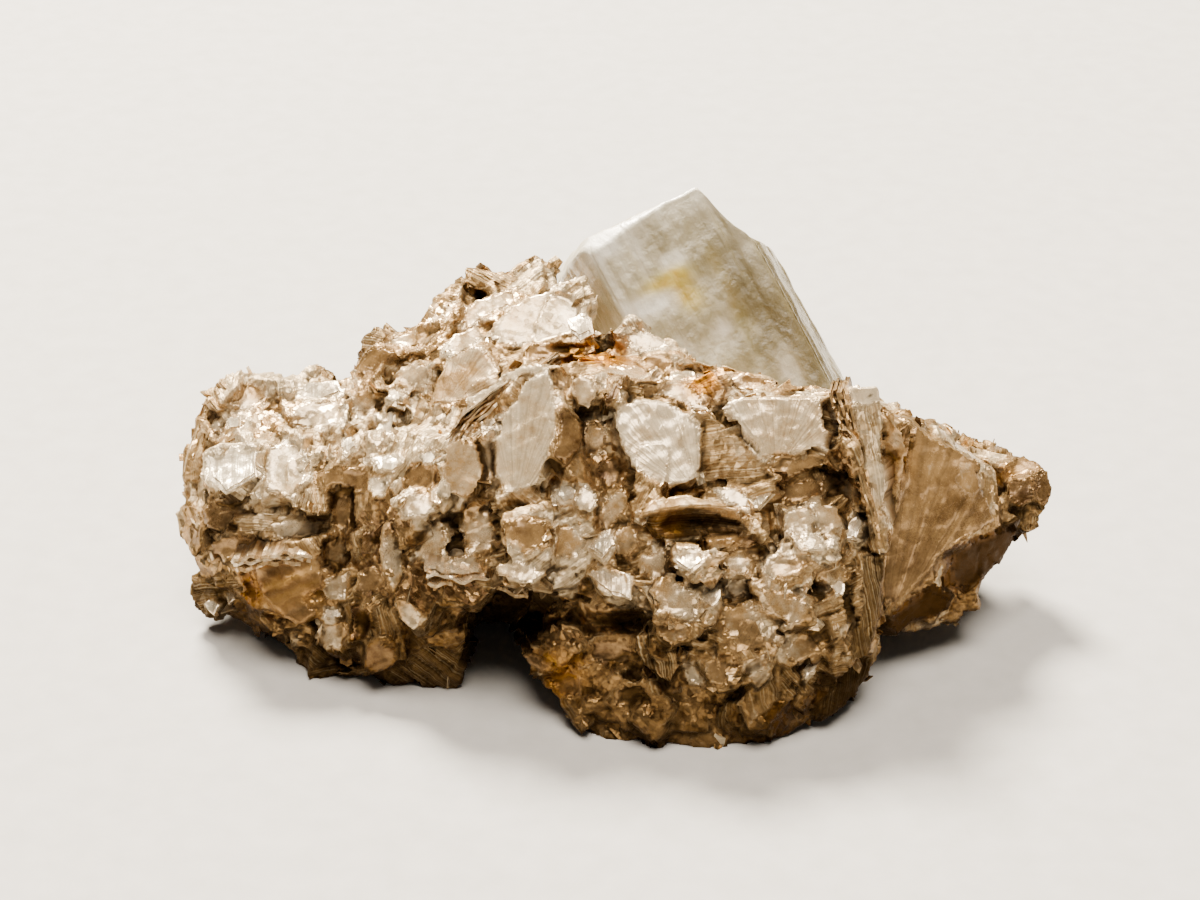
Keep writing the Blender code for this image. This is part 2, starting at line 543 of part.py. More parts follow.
def move_to_origin(objects):
    """Put the middle of the whole box, at foot level, on the origin."""
    for made in objects:
        made.data.transform(Matrix.Translation(Vector(BOX_MIDDLE) * -MM))
    corners = [vertex.co / MM for made in objects for vertex in made.data.vertices]
    for axis, name in enumerate("xyz"):
        places = [corner[axis] for corner in corners]
        print(name, "from", round(min(places), 2), "to", round(max(places), 2), "mm")


def main():
    clear_scene()
    rng = random.Random(SEED)
    matrix = make_matrix(rng)
    dress_feet(matrix)
    keep_largest_body(matrix)
    prism = make_prism(rng)
    move_to_origin((matrix, prism))
    matrix.data.materials.clear()
    matrix.data.materials.append(material("muscovite", (0.55, 0.42, 0.30), 0.35, 0.1))
    prism.data.materials.clear()
    prism.data.materials.append(material("goshenite", (0.86, 0.87, 0.78), 0.2, 0.0, 0.8, 1.58))
    for made in (matrix, prism):
        print(made.name, "faces", len(made.data.polygons))


main()
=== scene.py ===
# %% [markdown]
# # Goshenite on muscovite
# Goshenite is beryl without colour: long six-sided prisms that grow in pegmatite, often out of
# a bed of mica.  This specimen is a lump of muscovite books, and one prism leans out of its back.
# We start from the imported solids.  They give the size, the place and the main shapes, and every
# finer form below is laid on them, so nothing has to be fitted afterwards.

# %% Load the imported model
import math

import bpy
import mathutils
import numpy as np
from mathutils import Matrix, Vector
from mathutils.bvhtree import BVHTree
from mathutils.kdtree import KDTree


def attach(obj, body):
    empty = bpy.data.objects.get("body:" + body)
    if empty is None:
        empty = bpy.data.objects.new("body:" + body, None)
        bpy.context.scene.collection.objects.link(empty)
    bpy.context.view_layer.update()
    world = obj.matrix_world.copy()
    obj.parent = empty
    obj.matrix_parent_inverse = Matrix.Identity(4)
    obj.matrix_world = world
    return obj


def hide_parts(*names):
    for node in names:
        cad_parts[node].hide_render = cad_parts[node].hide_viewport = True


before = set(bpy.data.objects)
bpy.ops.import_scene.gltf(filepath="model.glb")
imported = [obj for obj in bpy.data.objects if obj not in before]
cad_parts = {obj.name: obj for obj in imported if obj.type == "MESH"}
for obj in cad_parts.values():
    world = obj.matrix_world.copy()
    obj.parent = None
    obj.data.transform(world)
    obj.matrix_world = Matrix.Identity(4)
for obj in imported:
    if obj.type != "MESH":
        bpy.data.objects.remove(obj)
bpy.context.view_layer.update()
MM = 0.001
print("solids:", sorted(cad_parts))

# %% [markdown]
# # The view
# A close-up lens looks down at the specimen at thirty degrees.  Some forms below are placed by
# where they appear in this view, so the camera comes first.  A ray through a point of the
# 1200 by 900 frame finds the mica that carries the form.

# %% Camera
VIEW_FRAME = (1200, 900)
VIEW_TARGET = Vector((-0.65, -6.15, 11.4))     # mm, what the middle of the frame looks at
VIEW_DISTANCE = 123.6                          # mm
VIEW_DOWN = math.radians(30)
LENS = 81.0
SENSOR = 36.0
FOCAL = VIEW_FRAME[0] * LENS / SENSOR          # the lens length in frame points

view_ahead = Vector((0, math.cos(VIEW_DOWN), -math.sin(VIEW_DOWN)))
view_right = Vector((1, 0, 0))
view_up = view_right.cross(view_ahead)
view_eye = VIEW_TARGET - view_ahead * VIEW_DISTANCE


def new_object(name, data):
    """A new object, placed in the scene."""
    made = bpy.data.objects.new(name, data)
    bpy.context.scene.collection.objects.link(made)
    return made


lens = bpy.data.cameras.new("camera")
lens.lens = LENS
lens.sensor_width = SENSOR
lens.clip_start = 0.002
lens.clip_end = 10.0
camera = new_object("camera", lens)
camera.location = view_eye * MM
camera.rotation_euler = (math.radians(90) - VIEW_DOWN, 0, 0)
bpy.context.scene.camera = camera


def view_ray(across, down):
    """Direction from the eye through a point of the frame."""
    x = across - VIEW_FRAME[0] / 2
    y = VIEW_FRAME[1] / 2 - down
    return (view_ahead * FOCAL + view_right * x + view_up * y).normalized()


def on_plane(across, down, point, normal):
    """Where the ray through a frame point meets a plane."""
    ray = view_ray(across, down)
    reach = (point - view_eye).dot(normal) / ray.dot(normal)
    return view_eye + ray * reach


def frame_places(points):
    """How far across and down the frame points in mm appear."""
    offset = points - np.array(view_eye)
    depth = offset @ np.array(view_ahead)
    across = VIEW_FRAME[0] / 2 + FOCAL * (offset @ np.array(view_right)) / depth
    return across, VIEW_FRAME[1] / 2 - FOCAL * (offset @ np.array(view_up)) / depth


def within(outline, across, down):
    """Which frame points lie in an outline."""
    found = np.zeros(len(across), dtype=bool)
    last = outline[-1]
    for corner in outline:
        crossed = (corner[1] > down) != (last[1] > down)
        part = (down - corner[1]) / ((last[1] - corner[1]) or 1.0)
        found ^= crossed & (across < corner[0] + (last[0] - corner[0]) * part)
        last = corner
    return found


print("camera", round((view_eye - VIEW_TARGET).length, 1), "mm away")

# %% [markdown]
# # The mica's skin as a guide
# A search tree over the solid lump answers two questions: where does a ray land, and which
# surface point is nearest?  Random spots on it, spread evenly by area, seed the small books.

# %% Search tree over the lump
def read_rows(items, name, width, kind=float):
    """One value of each corner, edge or triangle of a mesh, as rows this wide."""
    values = np.empty(len(items) * width, dtype=kind)
    items.foreach_get(name, values)
    return values.reshape(-1, width)


def mesh_in_mm(node):
    """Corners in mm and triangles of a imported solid."""
    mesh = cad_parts[node].data
    mesh.calc_loop_triangles()
    return (read_rows(mesh.vertices, "co", 3) / MM,
            read_rows(mesh.loop_triangles, "vertices", 3, int))


lump_corners, lump_triangles = mesh_in_mm("mica_matrix")
lump_tree = BVHTree.FromPolygons(lump_corners.tolist(), lump_triangles.tolist())
edge_a = lump_corners[lump_triangles[:, 1]] - lump_corners[lump_triangles[:, 0]]
edge_b = lump_corners[lump_triangles[:, 2]] - lump_corners[lump_triangles[:, 0]]
lump_normals = np.cross(edge_a, edge_b)
lump_areas = np.linalg.norm(lump_normals, axis=1) / 2
lump_normals /= np.maximum(2 * lump_areas[:, None], 1e-9)
print("lump: %d triangles, %.0f mm2" % (len(lump_triangles), lump_areas.sum()))


MISSED_MM = 3.0          # past the target, where a ray that misses the lump is brought back


def seen_spot(across, down):
    """The point and facing of the lump seen at a frame point."""
    point, normal, index, reach = lump_tree.ray_cast(view_eye, view_ray(across, down))
    if point is None:
        beside = on_plane(across, down, VIEW_TARGET + view_ahead * MISSED_MM, view_ahead)
        point, normal, index, reach = lump_tree.find_nearest(beside)
    return point, normal


# %% [markdown]
# # The prism's axes
# Beryl's faces lie round one long axis.  The same few numbers that set the solid set the dressed
# crystal: a corner, the long axis, the way its broad face looks, and how far each face lies from
# the axis.

# %% Prism measures
PRISM_CORNER = Vector((-1.5, 7.2, 15.5))       # top left corner of the broad face
PRISM_AXIS = Vector((-0.47, 0.50, 0.73)).normalized()
PRISM_FACE = Vector((0.17, -0.80, 0.66))
PRISM_LENGTH = 14.0
PRISM_DISTANCES = (2.8, 4.6, 4.5, 2.8, 5.0, 5.1)

prism_out = (PRISM_FACE - PRISM_AXIS * PRISM_FACE.dot(PRISM_AXIS)).normalized()
prism_side = PRISM_AXIS.cross(prism_out)


def hexagon(distances):
    """Corners of a six-sided section whose sides lie at these distances from the axis."""
    corners = []
    for side in range(6):
        near = math.radians(90 + 60 * side)
        far = near + math.radians(60)
        d_near = distances[side]
        d_far = distances[(side + 1) % 6]
        x = (d_near * math.sin(far) - d_far * math.sin(near)) / math.sin(far - near)
        y = (d_far * math.cos(near) - d_near * math.cos(far)) / math.sin(far - near)
        corners.append((x, y))
    return corners


first_corner = hexagon(PRISM_DISTANCES)[0]
prism_origin = PRISM_CORNER - prism_side * first_corner[0] - prism_out * first_corner[1]


def into_prism(point):
    """A point as sideways, outward and along-axis parts, from the middle of the top."""
    offset = Vector(point) - prism_origin
    return offset.dot(prism_side), offset.dot(prism_out), offset.dot(PRISM_AXIS)


TOP_MARGIN = 0.5         # mm that the prism's top reaches past its origin


def outside_prism(point):
    """How far a point lies outside the prism's sides and below its top, negative inside."""
    x, y, z = into_prism(point)
    reach = max(z - TOP_MARGIN, -PRISM_LENGTH - z)
    for side, distance in enumerate(PRISM_DISTANCES):
        angle = math.radians(90 + 60 * side)
        reach = max(reach, x * math.cos(angle) + y * math.sin(angle) - distance)
    return reach


print("prism top at", [round(part, 1) for part in prism_origin])

# %% [markdown]
# # Colours and nodes
# Colours are given as sRGB hex values and turned linear once here.  One
# small function adds a shader node with its settings and links, and hands back the output that
# the next node needs.

# %% Helpers for materials
def linear(hex_value):
    """An sRGB hex colour as a linear colour with full alpha."""
    parts = [int(hex_value[place:place + 2], 16) / 255 for place in (1, 3, 5)]
    return (*[((part + 0.055) / 1.055) ** 2.4 if part > 0.04045 else part / 12.92
              for part in parts], 1.0)


def add_node(tree, kind, settings=None, links=None, stops=(), output=None):
    """Add a node of a kind, written without ShaderNode: settings set its properties, or its
    sockets by name or place; links join its sockets to other outputs; stops are the places and
    hex colours of a ramp."""
    node = tree.nodes.new("ShaderNode" + kind)
    for name, value in (settings or {}).items():
        if isinstance(name, str) and hasattr(node, name):
            setattr(node, name, value)
        else:
            node.inputs[name].default_value = value
    for name, source in (links or {}).items():
        tree.links.new(source, node.inputs[name])
    for index, (place, colour) in enumerate(stops):
        if index >= 2:
            node.color_ramp.elements.new(place)
        node.color_ramp.elements[index].position = place
        node.color_ramp.elements[index].color = linear(colour)
    if output is None:
        return next(socket for socket in node.outputs if socket.enabled)
    return node.outputs[output]


def new_material(name):
    """An empty material, its node tree and its shader."""
    made = bpy.data.materials.new(name)
    made.use_nodes = True
    tree = made.node_tree
    return made, tree, tree.nodes["Principled BSDF"]


print("warm mica tan is", [round(part, 3) for part in linear("#c49a68")])

# %% [markdown]
# # Muscovite
# Muscovite is a potassium mica that cleaves into sheets finer than paper.  A cleavage face is
# smooth and pearly: light enters a few sheets, bounces off the air films between them and comes
# back silvery or bronze.  A little metallic and a low roughness give that flash, and only where
# a face turns towards the light.  Rims show hundreds of sheet edges, so they are matt and finely
# lined.  One value per point, the height along the stack of sheets, draws those lines, and other
# values give each book its tint and darken it with painted shade in the crevices, on undersides
# and near the foot.
#
# Where books are crushed together the surface is a mosaic of tiny cleavage faces that tilt every
# way.  A Voronoi pattern gives each cell a middle and a random colour.  Read as a slope, that
# colour tilts the cell as a flat mirror of its own, which is what makes mica glitter.

# %% Material: muscovite, its measures
SHEET_MM = 0.08          # spacing of the lines on a rim, coarser than real sheets so that they show
WAVER_MM = 1.3           # length over which the sheets waver
WAVER_DEPTH = 0.34       # mm
STREAK_MM = 0.24         # spacing of the faint growth streaks on a cleavage face
MOTTLE_MM = 1.7          # size of the cloudy patches
GRIT_MM = 0.09           # crumbs and pits
SWELL_MM = 2.0           # length over which a cleavage face is bent
MIRRORS_MM = (0.62, 0.27)    # widths of the two sizes of tiny cleavage faces
LINE_RELIEF = 0.03       # mm, depth of the lines on a rim
STREAK_RELIEF = 0.026
GRIT_RELIEF = 0.020
SWELL_RELIEF = 0.30
FACE_LINES = 1 / 8       # share of the lines' depth that shows on a face too
MOTTLE_TINT = 1.35       # how much the cloudy patches count in the tint
MIRROR_TINT = 0.32       # and each mirror's own random colour
PALE_TINT = 0.66         # taken off, so that a book of tint 0 is pale
CLEAN_CALM = 0.80        # share of their tilt that the mirrors lose on a clean face
CLEAN_METALLIC = 0.26    # and what such a face loses of the flash
SHADE_METALLIC = 0.80    # what the painted shade gains, which keeps its brown dark
SHADE_COVER = 0.90       # most cover of the painted shade's brown
RIM_ROUGH = 0.22
SHADE_ROUGH = 0.30
GRIT_ROUGH = (-0.08, 0.12)
VEIN_NOISE = (0.34, 0.60)    # the streaks' noise that gives the darkest and lightest veins
VEIN_TONE = (0.76, 1.08)
MUSCOVITE_IOR = 1.58
print("on screen a large mirror is", round(MIRRORS_MM[0] * FOCAL / VIEW_DISTANCE), "points wide")


# %% Material: muscovite, the mosaic of mirrors
def mirrors(tree, place, width):
    """Height in mm over a mosaic of tilted cells, and the random colour of each cell."""
    random = add_node(tree, "TexVoronoi", {"Scale": 1 / (width * MM)},
                      {"Vector": place}, output="Color")
    middle = random.node.outputs["Position"]
    offset = add_node(tree, "VectorMath", {"operation": "SUBTRACT"}, {0: place, 1: middle})
    slope = add_node(tree, "VectorMath", {"operation": "SUBTRACT", 1: (0.5, 0.5, 0.5)},
                     {0: random})
    height = add_node(tree, "VectorMath", {"operation": "DOT_PRODUCT"},
                      {0: offset, 1: slope}, output="Value")
    height = add_node(tree, "Math", {"operation": "MULTIPLY", 1: 1 / MM}, {0: height})
    return height, add_node(tree, "SeparateColor", {}, {"Color": random})


print("mirrors are %.2f and %.2f mm wide" % MIRRORS_MM)

# %% Material: muscovite, the whole
def muscovite(name, pale, tan, brown, roughness, metallic, crushed):
    """Mica between three colours; crushed is how strongly the tiny mirrors tilt."""
    made, tree, shader = new_material(name)
    place = add_node(tree, "TexCoord", output="Object")
    tint, rim, rust, shade, sheet, lay, clean = [
        add_node(tree, "Attribute", {"attribute_name": value}, output="Fac")
        for value in ("tint", "rim", "rust", "shade", "sheet", "lay", "clean")]
    broken = add_node(tree, "Math",
                      {"operation": "MULTIPLY_ADD", 1: -CLEAN_CALM * crushed, 2: crushed},
                      {0: clean})
    mottle, grit, waver, swell = [
        add_node(tree, "TexNoise",
                 {"Scale": 1 / (width * MM), "Detail": detail, "Roughness": fine},
                 {"Vector": place})
        for width, detail, fine in ((MOTTLE_MM, 5.0, 0.76), (GRIT_MM, 2.0, 0.62),
                                    (WAVER_MM, 3.0, 0.62), (SWELL_MM, 2.0, 0.62))]
    wavy_sheet, wavy_lay = [
        add_node(tree, "Math", {"operation": "MULTIPLY_ADD", 1: WAVER_DEPTH}, {0: waver, 2: way})
        for way in (sheet, lay)]
    lines, streaks = [
        add_node(tree, "TexNoise",
                 {"noise_dimensions": "1D", "Scale": 1 / spacing, "Detail": 3.0}, {"W": way})
        for way, spacing in ((wavy_sheet, SHEET_MM), (wavy_lay, STREAK_MM))]
    large, large_random = mirrors(tree, place, MIRRORS_MM[0])
    small, small_random = mirrors(tree, place, MIRRORS_MM[1])

    # how far from pale to brown: the book's tint, cloudy patches, and each mirror's own
    cell_tint = add_node(tree, "Math", {"operation": "ADD"}, {0: large_random, 1: small_random})
    depth = add_node(tree, "Math", {"operation": "MULTIPLY_ADD", 1: MOTTLE_TINT},
                     {0: mottle, 2: tint})
    cell_tint = add_node(tree, "Math", {"operation": "SUBTRACT", 1: 1.0}, {0: cell_tint})
    cell_share = add_node(tree, "Math", {"operation": "MULTIPLY", 1: MIRROR_TINT}, {0: broken})
    depth = add_node(tree, "Math", {"operation": "MULTIPLY_ADD"},
                     {0: cell_tint, 1: cell_share, 2: depth})
    depth = add_node(tree, "Math", {"operation": "SUBTRACT", 1: PALE_TINT}, {0: depth})
    colour = add_node(tree, "ValToRGB", {}, {"Fac": depth},
                      stops=((0.0, pale), (0.45, tan), (1.0, brown)))
    veins = add_node(tree, "MapRange",
                     {"From Min": VEIN_NOISE[0], "From Max": VEIN_NOISE[1],
                      "To Min": VEIN_TONE[0], "To Max": VEIN_TONE[1]}, {"Value": streaks})
    colour = add_node(tree, "Mix", {"data_type": "RGBA", "blend_type": "MULTIPLY", 0: 1.0},
                      {6: colour, 7: veins})

    # rims, painted shade and rust
    rim_lines = add_node(tree, "ValToRGB", {}, {"Fac": lines},
                         stops=((0.34, "#553f20"), (0.5, "#9a7d4e"), (0.70, "#dcc79c")))
    rust_lines = add_node(tree, "ValToRGB", {}, {"Fac": streaks},
                          stops=((0.3, "#553000"), (0.5, "#a86a00"), (0.7, "#d89a14")))
    rim_share = add_node(tree, "Math", {"operation": "MULTIPLY"}, {0: rim, 1: mottle})
    shade_share = add_node(tree, "Math", {"operation": "MULTIPLY", 1: SHADE_COVER}, {0: shade})
    colour = add_node(tree, "Mix", {"data_type": "RGBA"}, {0: rim_share, 6: colour, 7: rim_lines})
    # painted shade: the shade value darkens the colour towards dark brown
    colour = add_node(tree, "Mix", {"data_type": "RGBA", 7: linear("#30200b")},
                      {0: shade_share, 6: colour})
    colour = add_node(tree, "Mix", {"data_type": "RGBA"}, {0: rust, 6: colour, 7: rust_lines})
    tree.links.new(colour, shader.inputs["Base Color"])

    # gloss: grit dulls a face, rims and crevices are duller still
    gloss = add_node(tree, "MapRange",
                     {"To Min": roughness + GRIT_ROUGH[0], "To Max": roughness + GRIT_ROUGH[1]},
                     {"Value": grit})
    gloss = add_node(tree, "Math", {"operation": "MULTIPLY_ADD", 1: RIM_ROUGH}, {0: rim, 2: gloss})
    gloss = add_node(tree, "Math", {"operation": "MULTIPLY_ADD", 1: SHADE_ROUGH},
                     {0: shade, 2: gloss})
    tree.links.new(gloss, shader.inputs["Roughness"])
    flash = add_node(tree, "Math",
                     {"operation": "MULTIPLY_ADD", 1: -CLEAN_METALLIC, 2: metallic}, {0: clean})
    flash = add_node(tree, "Math",
                     {"operation": "MULTIPLY_ADD", 1: SHADE_METALLIC, "use_clamp": True},
                     {0: shade, 2: flash})
    tree.links.new(flash, shader.inputs["Metallic"])
    shader.inputs["IOR"].default_value = MUSCOVITE_IOR

    # relief in mm: lines on rims, streaks and grit on faces, and the tilted mirrors
    line_depth = add_node(tree, "Math", {"operation": "MULTIPLY_ADD", 1: LINE_RELIEF,
                                         2: LINE_RELIEF * FACE_LINES}, {0: rim})
    relief = add_node(tree, "Math", {"operation": "MULTIPLY"}, {0: lines, 1: line_depth})
    for height, amount in ((streaks, STREAK_RELIEF), (swell, SWELL_RELIEF)):
        relief = add_node(tree, "Math", {"operation": "MULTIPLY_ADD", 1: amount},
                          {0: height, 2: relief})
    crumbs = add_node(tree, "Math", {"operation": "MULTIPLY", 1: GRIT_RELIEF}, {0: grit})
    for height in (large, small, crumbs):
        relief = add_node(tree, "Math", {"operation": "MULTIPLY_ADD"},
                          {0: height, 1: broken, 2: relief})
    bump = add_node(tree, "Bump", {"Strength": 1.0, "Distance": MM}, {"Height": relief})
    tree.links.new(bump, shader.inputs["Normal"])
    return made


muscovite_faces = muscovite("muscovite cleavage faces", "#ffecc9", "#c39d69", "#5f421a",
                            0.22, 0.62, 0.14)
muscovite_mass = muscovite("crushed muscovite", "#ffe8c0", "#bb9560", "#553814",
                           0.22, 0.62, 0.58)
print("materials:", muscovite_faces.name, "and", muscovite_mass.name)

# %% [markdown]
# # How a book of mica is built
# A book is a stack of sheets that share one outline, each broken a little differently at its
# rim.  We build it as one closed form: two rings of points for every sheet, and a tighter ring
# between sheets, so the rim shows real grooves.  The last sheets may cover only part of the
# face, which leaves the low steps of a cleavage face.  A joined heap collects many books into
# one mesh, with the values that the material reads.

# %% Heap: many closed forms in one mesh
class Heap:
    """Collects closed forms, in mm, with values for the material."""

    def __init__(self):
        self.points = []
        self.faces = []
        self.face_values = {"tint": [], "rim": [], "rust": []}
        self.point_values = {"sheet": [], "lay": [], "shade": []}
        self.owners = []
        self.stacks = []
        self.count = 0

    def add(self, points, faces, tint, rim, rust, axes, shade, grain=None):
        across, along, up = axes
        up = up if grain is None else np.array(Vector(grain).normalized())
        self.faces.extend([tuple(corner + self.count for corner in face) for face in faces])
        self.points.append(points)
        self.count += len(points)
        for name, value in (("tint", tint), ("rim", rim), ("rust", rust)):
            self.face_values[name].extend(value)
        self.point_values["sheet"].extend((points @ up).tolist())
        self.point_values["lay"].extend((points @ across).tolist())
        self.point_values["shade"].extend(np.broadcast_to(shade, len(points)).tolist())
        self.owners.extend([len(self.stacks)] * len(faces))
        self.stacks.append((up, across, tint[0]))

    def build(self, name, material):
        points = np.concatenate(self.points)
        return mica_piece(name, points, self.faces, material, self.face_values,
                          self.point_values)


print("values kept:", list(Heap().face_values), "and", list(Heap().point_values))

# %% One object from many forms
FLOOR_GAP_MM = 0.01      # nothing reaches lower than this above the floor


def mica_piece(name, points, faces, material, face_values, point_values):
    """Make an object, in metres, that rides on the specimen and stands for the lump."""
    points = np.maximum(points, (-np.inf, -np.inf, FLOOR_GAP_MM))
    mesh = bpy.data.meshes.new(name)
    mesh.from_pydata((points * MM).tolist(), [], faces)
    for domain, values in (("FACE", face_values), ("POINT", point_values)):
        for value_name, value in values.items():
            layer = mesh.attributes.new(value_name, "FLOAT", domain)
            layer.data.foreach_set("value", np.asarray(value, dtype=np.float32))
    mesh.materials.append(material)
    mesh.update()
    made = new_object(name, mesh)
    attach(made, "root")
    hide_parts("mica_matrix")
    print("%s: %d triangles" % (name, sum(len(face) - 2 for face in faces)))
    return made


print("nothing reaches lower than", FLOOR_GAP_MM, "mm")

# %% Outline of a book
def plane_axes(normal, spin=0.0, level=None):
    """Two unit axes across a normal; the first is turned by spin degrees from level."""
    up = Vector(normal).normalized()
    level = Vector(level) if level else up.orthogonal()
    across = (level - up * level.dot(up)).normalized()
    across = Matrix.Rotation(math.radians(spin), 3, up) @ across
    return np.array(across), np.array(up.cross(across)), np.array(up)


def rough_outline(rng, size, sides, stretch, uneven=0.22):
    """An irregular many-sided outline around (0, 0)."""
    angles = np.arange(sides) + rng.uniform(-0.34, 0.34, sides)
    angles *= 2 * math.pi / sides
    reach = size / 2 * (1 + rng.uniform(-uneven, uneven, sides))
    return np.stack([np.cos(angles) * reach * stretch, np.sin(angles) * reach / stretch], axis=1)


def chipped_edge(rng, outline, run, chip):
    """Keep an outline's corners and break each side into runs of about this length."""
    points = []
    for corner, after in zip(outline, np.roll(outline, -1, axis=0)):
        runs = max(2, round(float(np.linalg.norm(after - corner)) / run))
        points.append(corner)
        for step in range(1, runs):
            part = (step + rng.uniform(-0.3, 0.3)) / runs
            points.append(corner + (after - corner) * part + rng.normal(0, chip, 2))
    return np.array(points)


sample = rough_outline(np.random.default_rng(1), 2.0, 5, 1.0)
print("corners of a 2 mm outline:", sample.round(1).tolist())

# %% Sheets of a book
def sheet_rings(rng, outline, thick, sheets, steps, ragged, groove):
    """Rings of flat points and their heights, up the stack, and what each band of faces is."""
    count = len(outline)
    reach = np.abs(outline).max()
    gap = thick / sheets
    rings = []
    kinds = []
    cover = np.zeros(2)
    cover_scale = 1.0
    edge = outline
    for sheet in range(sheets):
        on_rim = sheet < sheets - steps
        if not on_rim:
            cover_scale *= rng.uniform(0.72, 0.93)
            cover = cover + rng.uniform(-1, 1, 2) * reach * (1 - cover_scale) * 0.55
        last = edge
        edge = outline * ((1 + rng.normal(0, ragged, count)) * cover_scale)[:, None] + cover
        if sheet:
            inner = np.linalg.norm(last, axis=1) < np.linalg.norm(edge, axis=1)
            if groove and on_rim:
                tuck = np.where(inner[:, None], last, edge) * (1 - groove / max(reach, 0.2))
                rings.append((tuck, sheet * gap))
                kinds.append(1.0)
            kinds.append(1.0 if on_rim else 0.15)
        rings.append((edge, (sheet + 0.12) * gap))
        kinds.append(1.0)
        rings.append((edge, (sheet + 0.88) * gap))
    return rings, kinds[:len(rings) - 1], cover


def ringed_faces(count, rings):
    """Faces that join rings of this many points, and close both ends at two points more."""
    corner = np.arange(count)
    after = (corner + 1) % count
    faces = []
    for low in range(0, (rings - 1) * count, count):
        square = np.stack([low + corner, low + after, low + count + after, low + count + corner], 1)
        faces += square.tolist()
    last = (rings - 1) * count
    end = np.full(count, rings * count)
    faces += np.stack([last + corner, last + after, end], 1).tolist()
    return faces + np.stack([after, corner, end + 1], 1).tolist()


sample_rings = sheet_rings(np.random.default_rng(1), sample, 1.0, 8, 2, 0.03, 0.05)[0]
print("8 sheets need %d rings and %d faces" % (len(sample_rings),
                                               len(ringed_faces(5, len(sample_rings) + 1))))

# %% Book builder
SHEET_TINT = 0.05        # spread of the tint from one band of a rim to the next
SINK_MM = 0.9            # painted shade: a book turns dark over this depth below the skin


def add_book(heap, rng, centre, axes, outline, thick, sheets, tint, rust=0.0, ragged=0.03,
             groove=0.05, steps=2, curl=0.0, sink=None, grain=None):
    """Add one book around a centre; its faces look along the last axis.  Its sheets lie the same
    way unless a grain is given.  A sink gives the skin it lies on and its least painted shade."""
    across, along, up = axes
    rings, kinds, cover = sheet_rings(rng, outline, thick, sheets, steps, ragged, groove)
    count = len(outline)
    reach = np.abs(outline).max()
    top = rings[-1][1]
    flat = np.concatenate([ring for ring, level in rings]
                          + [rings[-1][0] * 0.5 + cover * 0.5, [cover, (0.0, 0.0)]])
    height = np.concatenate([np.full(count, level) for ring, level in rings]
                            + [np.full(count, top), [top, rings[0][1]]]) - thick / 2
    height = height + curl * (flat[:, 0] / reach) ** 2 * reach
    points = (np.array(centre) + flat[:, :1] * across + flat[:, 1:] * along
              + height[:, None] * up)
    faces = ringed_faces(count, len(rings) + 1)
    rims = np.concatenate([np.repeat(kinds + [0.0], count), np.zeros(2 * count)])
    tints = np.repeat(tint + rng.normal(0, SHEET_TINT, len(rings) + 2), count)
    tints[-2 * count:] = tint
    shade = 0.0
    if sink is not None:
        spot, skin, least = sink
        # painted shade: what lies below the skin turns dark
        shade = np.clip(-0.2 - ((points - spot) @ skin) / SINK_MM, least, 0.8)
    heap.add(points, faces, tints.tolist(), rims.tolist(), [rust] * len(faces), axes, shade,
             grain=grain)


print("a book turns dark over", SINK_MM, "mm")

# %% [markdown]
# # Rust
# Iron from weathered minerals stains the mica orange in a few places, mostly at the foot of the
# prism.  Each stain is a spot on the skin and a width, and the rust fades out from its middle.

# %% Stains
# name: frame point, width of the stain in mm, strength
STAINS = {
    "crown_rust": ((602, 352), 2.0, 1.0),
    "crown_rust_right": ((616, 346), 0.9, 0.7),
    "crevice_rust": ((703, 378), 1.5, 1.0),
    # these two also stand for orange glints on the bulge's shaded lower left: partly real iron stain,
    # partly painted glint
    "bulge_rust_and_glint": ((568, 668), 1.4, 0.30),
    "arch_rust_and_glint": ((556, 690), 1.0, 0.30),
    "nub_rust": ((1003, 474), 0.8, 0.35),
    "golden_flank": ((250, 590), 1.3, 0.45),
    "golden_face": ((290, 590), 2.2, 0.22),
    "wedge_rust": ((897, 460), 1.6, 0.28),
    "fan_foot_rust": ((548, 476), 0.6, 0.45),
    # this one also stands for a gold glint in the hollow under the brow: partly real stain, partly
    # painted glint
    "brow_rust_and_glint": ((668, 520), 1.2, 0.25),
}
stain_spots = [(np.array(seen_spot(*place)[0]), width, strength)
               for place, width, strength in STAINS.values()]


def rust_at(points):
    """How rusty the mica is at each point."""
    points = np.atleast_2d(points)
    share = np.zeros(len(points))
    for centre, width, strength in stain_spots:
        near = 1.0 - np.linalg.norm(points - centre, axis=1) / width
        share = np.maximum(share, np.clip(1.6 * near, 0, 1) * strength)
    return share


print("stains:", len(stain_spots))

# %% [markdown]
# # The main cleavage faces
# From a step away a few large flakes give the specimen its look: a pale fan and a six-sided
# flake in the middle, a plate with a straight top edge, the smooth tan face of the narrow end.
# Each row gives how the flake faces, how far it is lifted, its thickness, its tint and its
# outline, as points of the frame.  The outline is laid on a plane through the mica seen at its
# middle.  On some faces the growth streaks fan out from one point, the hub.

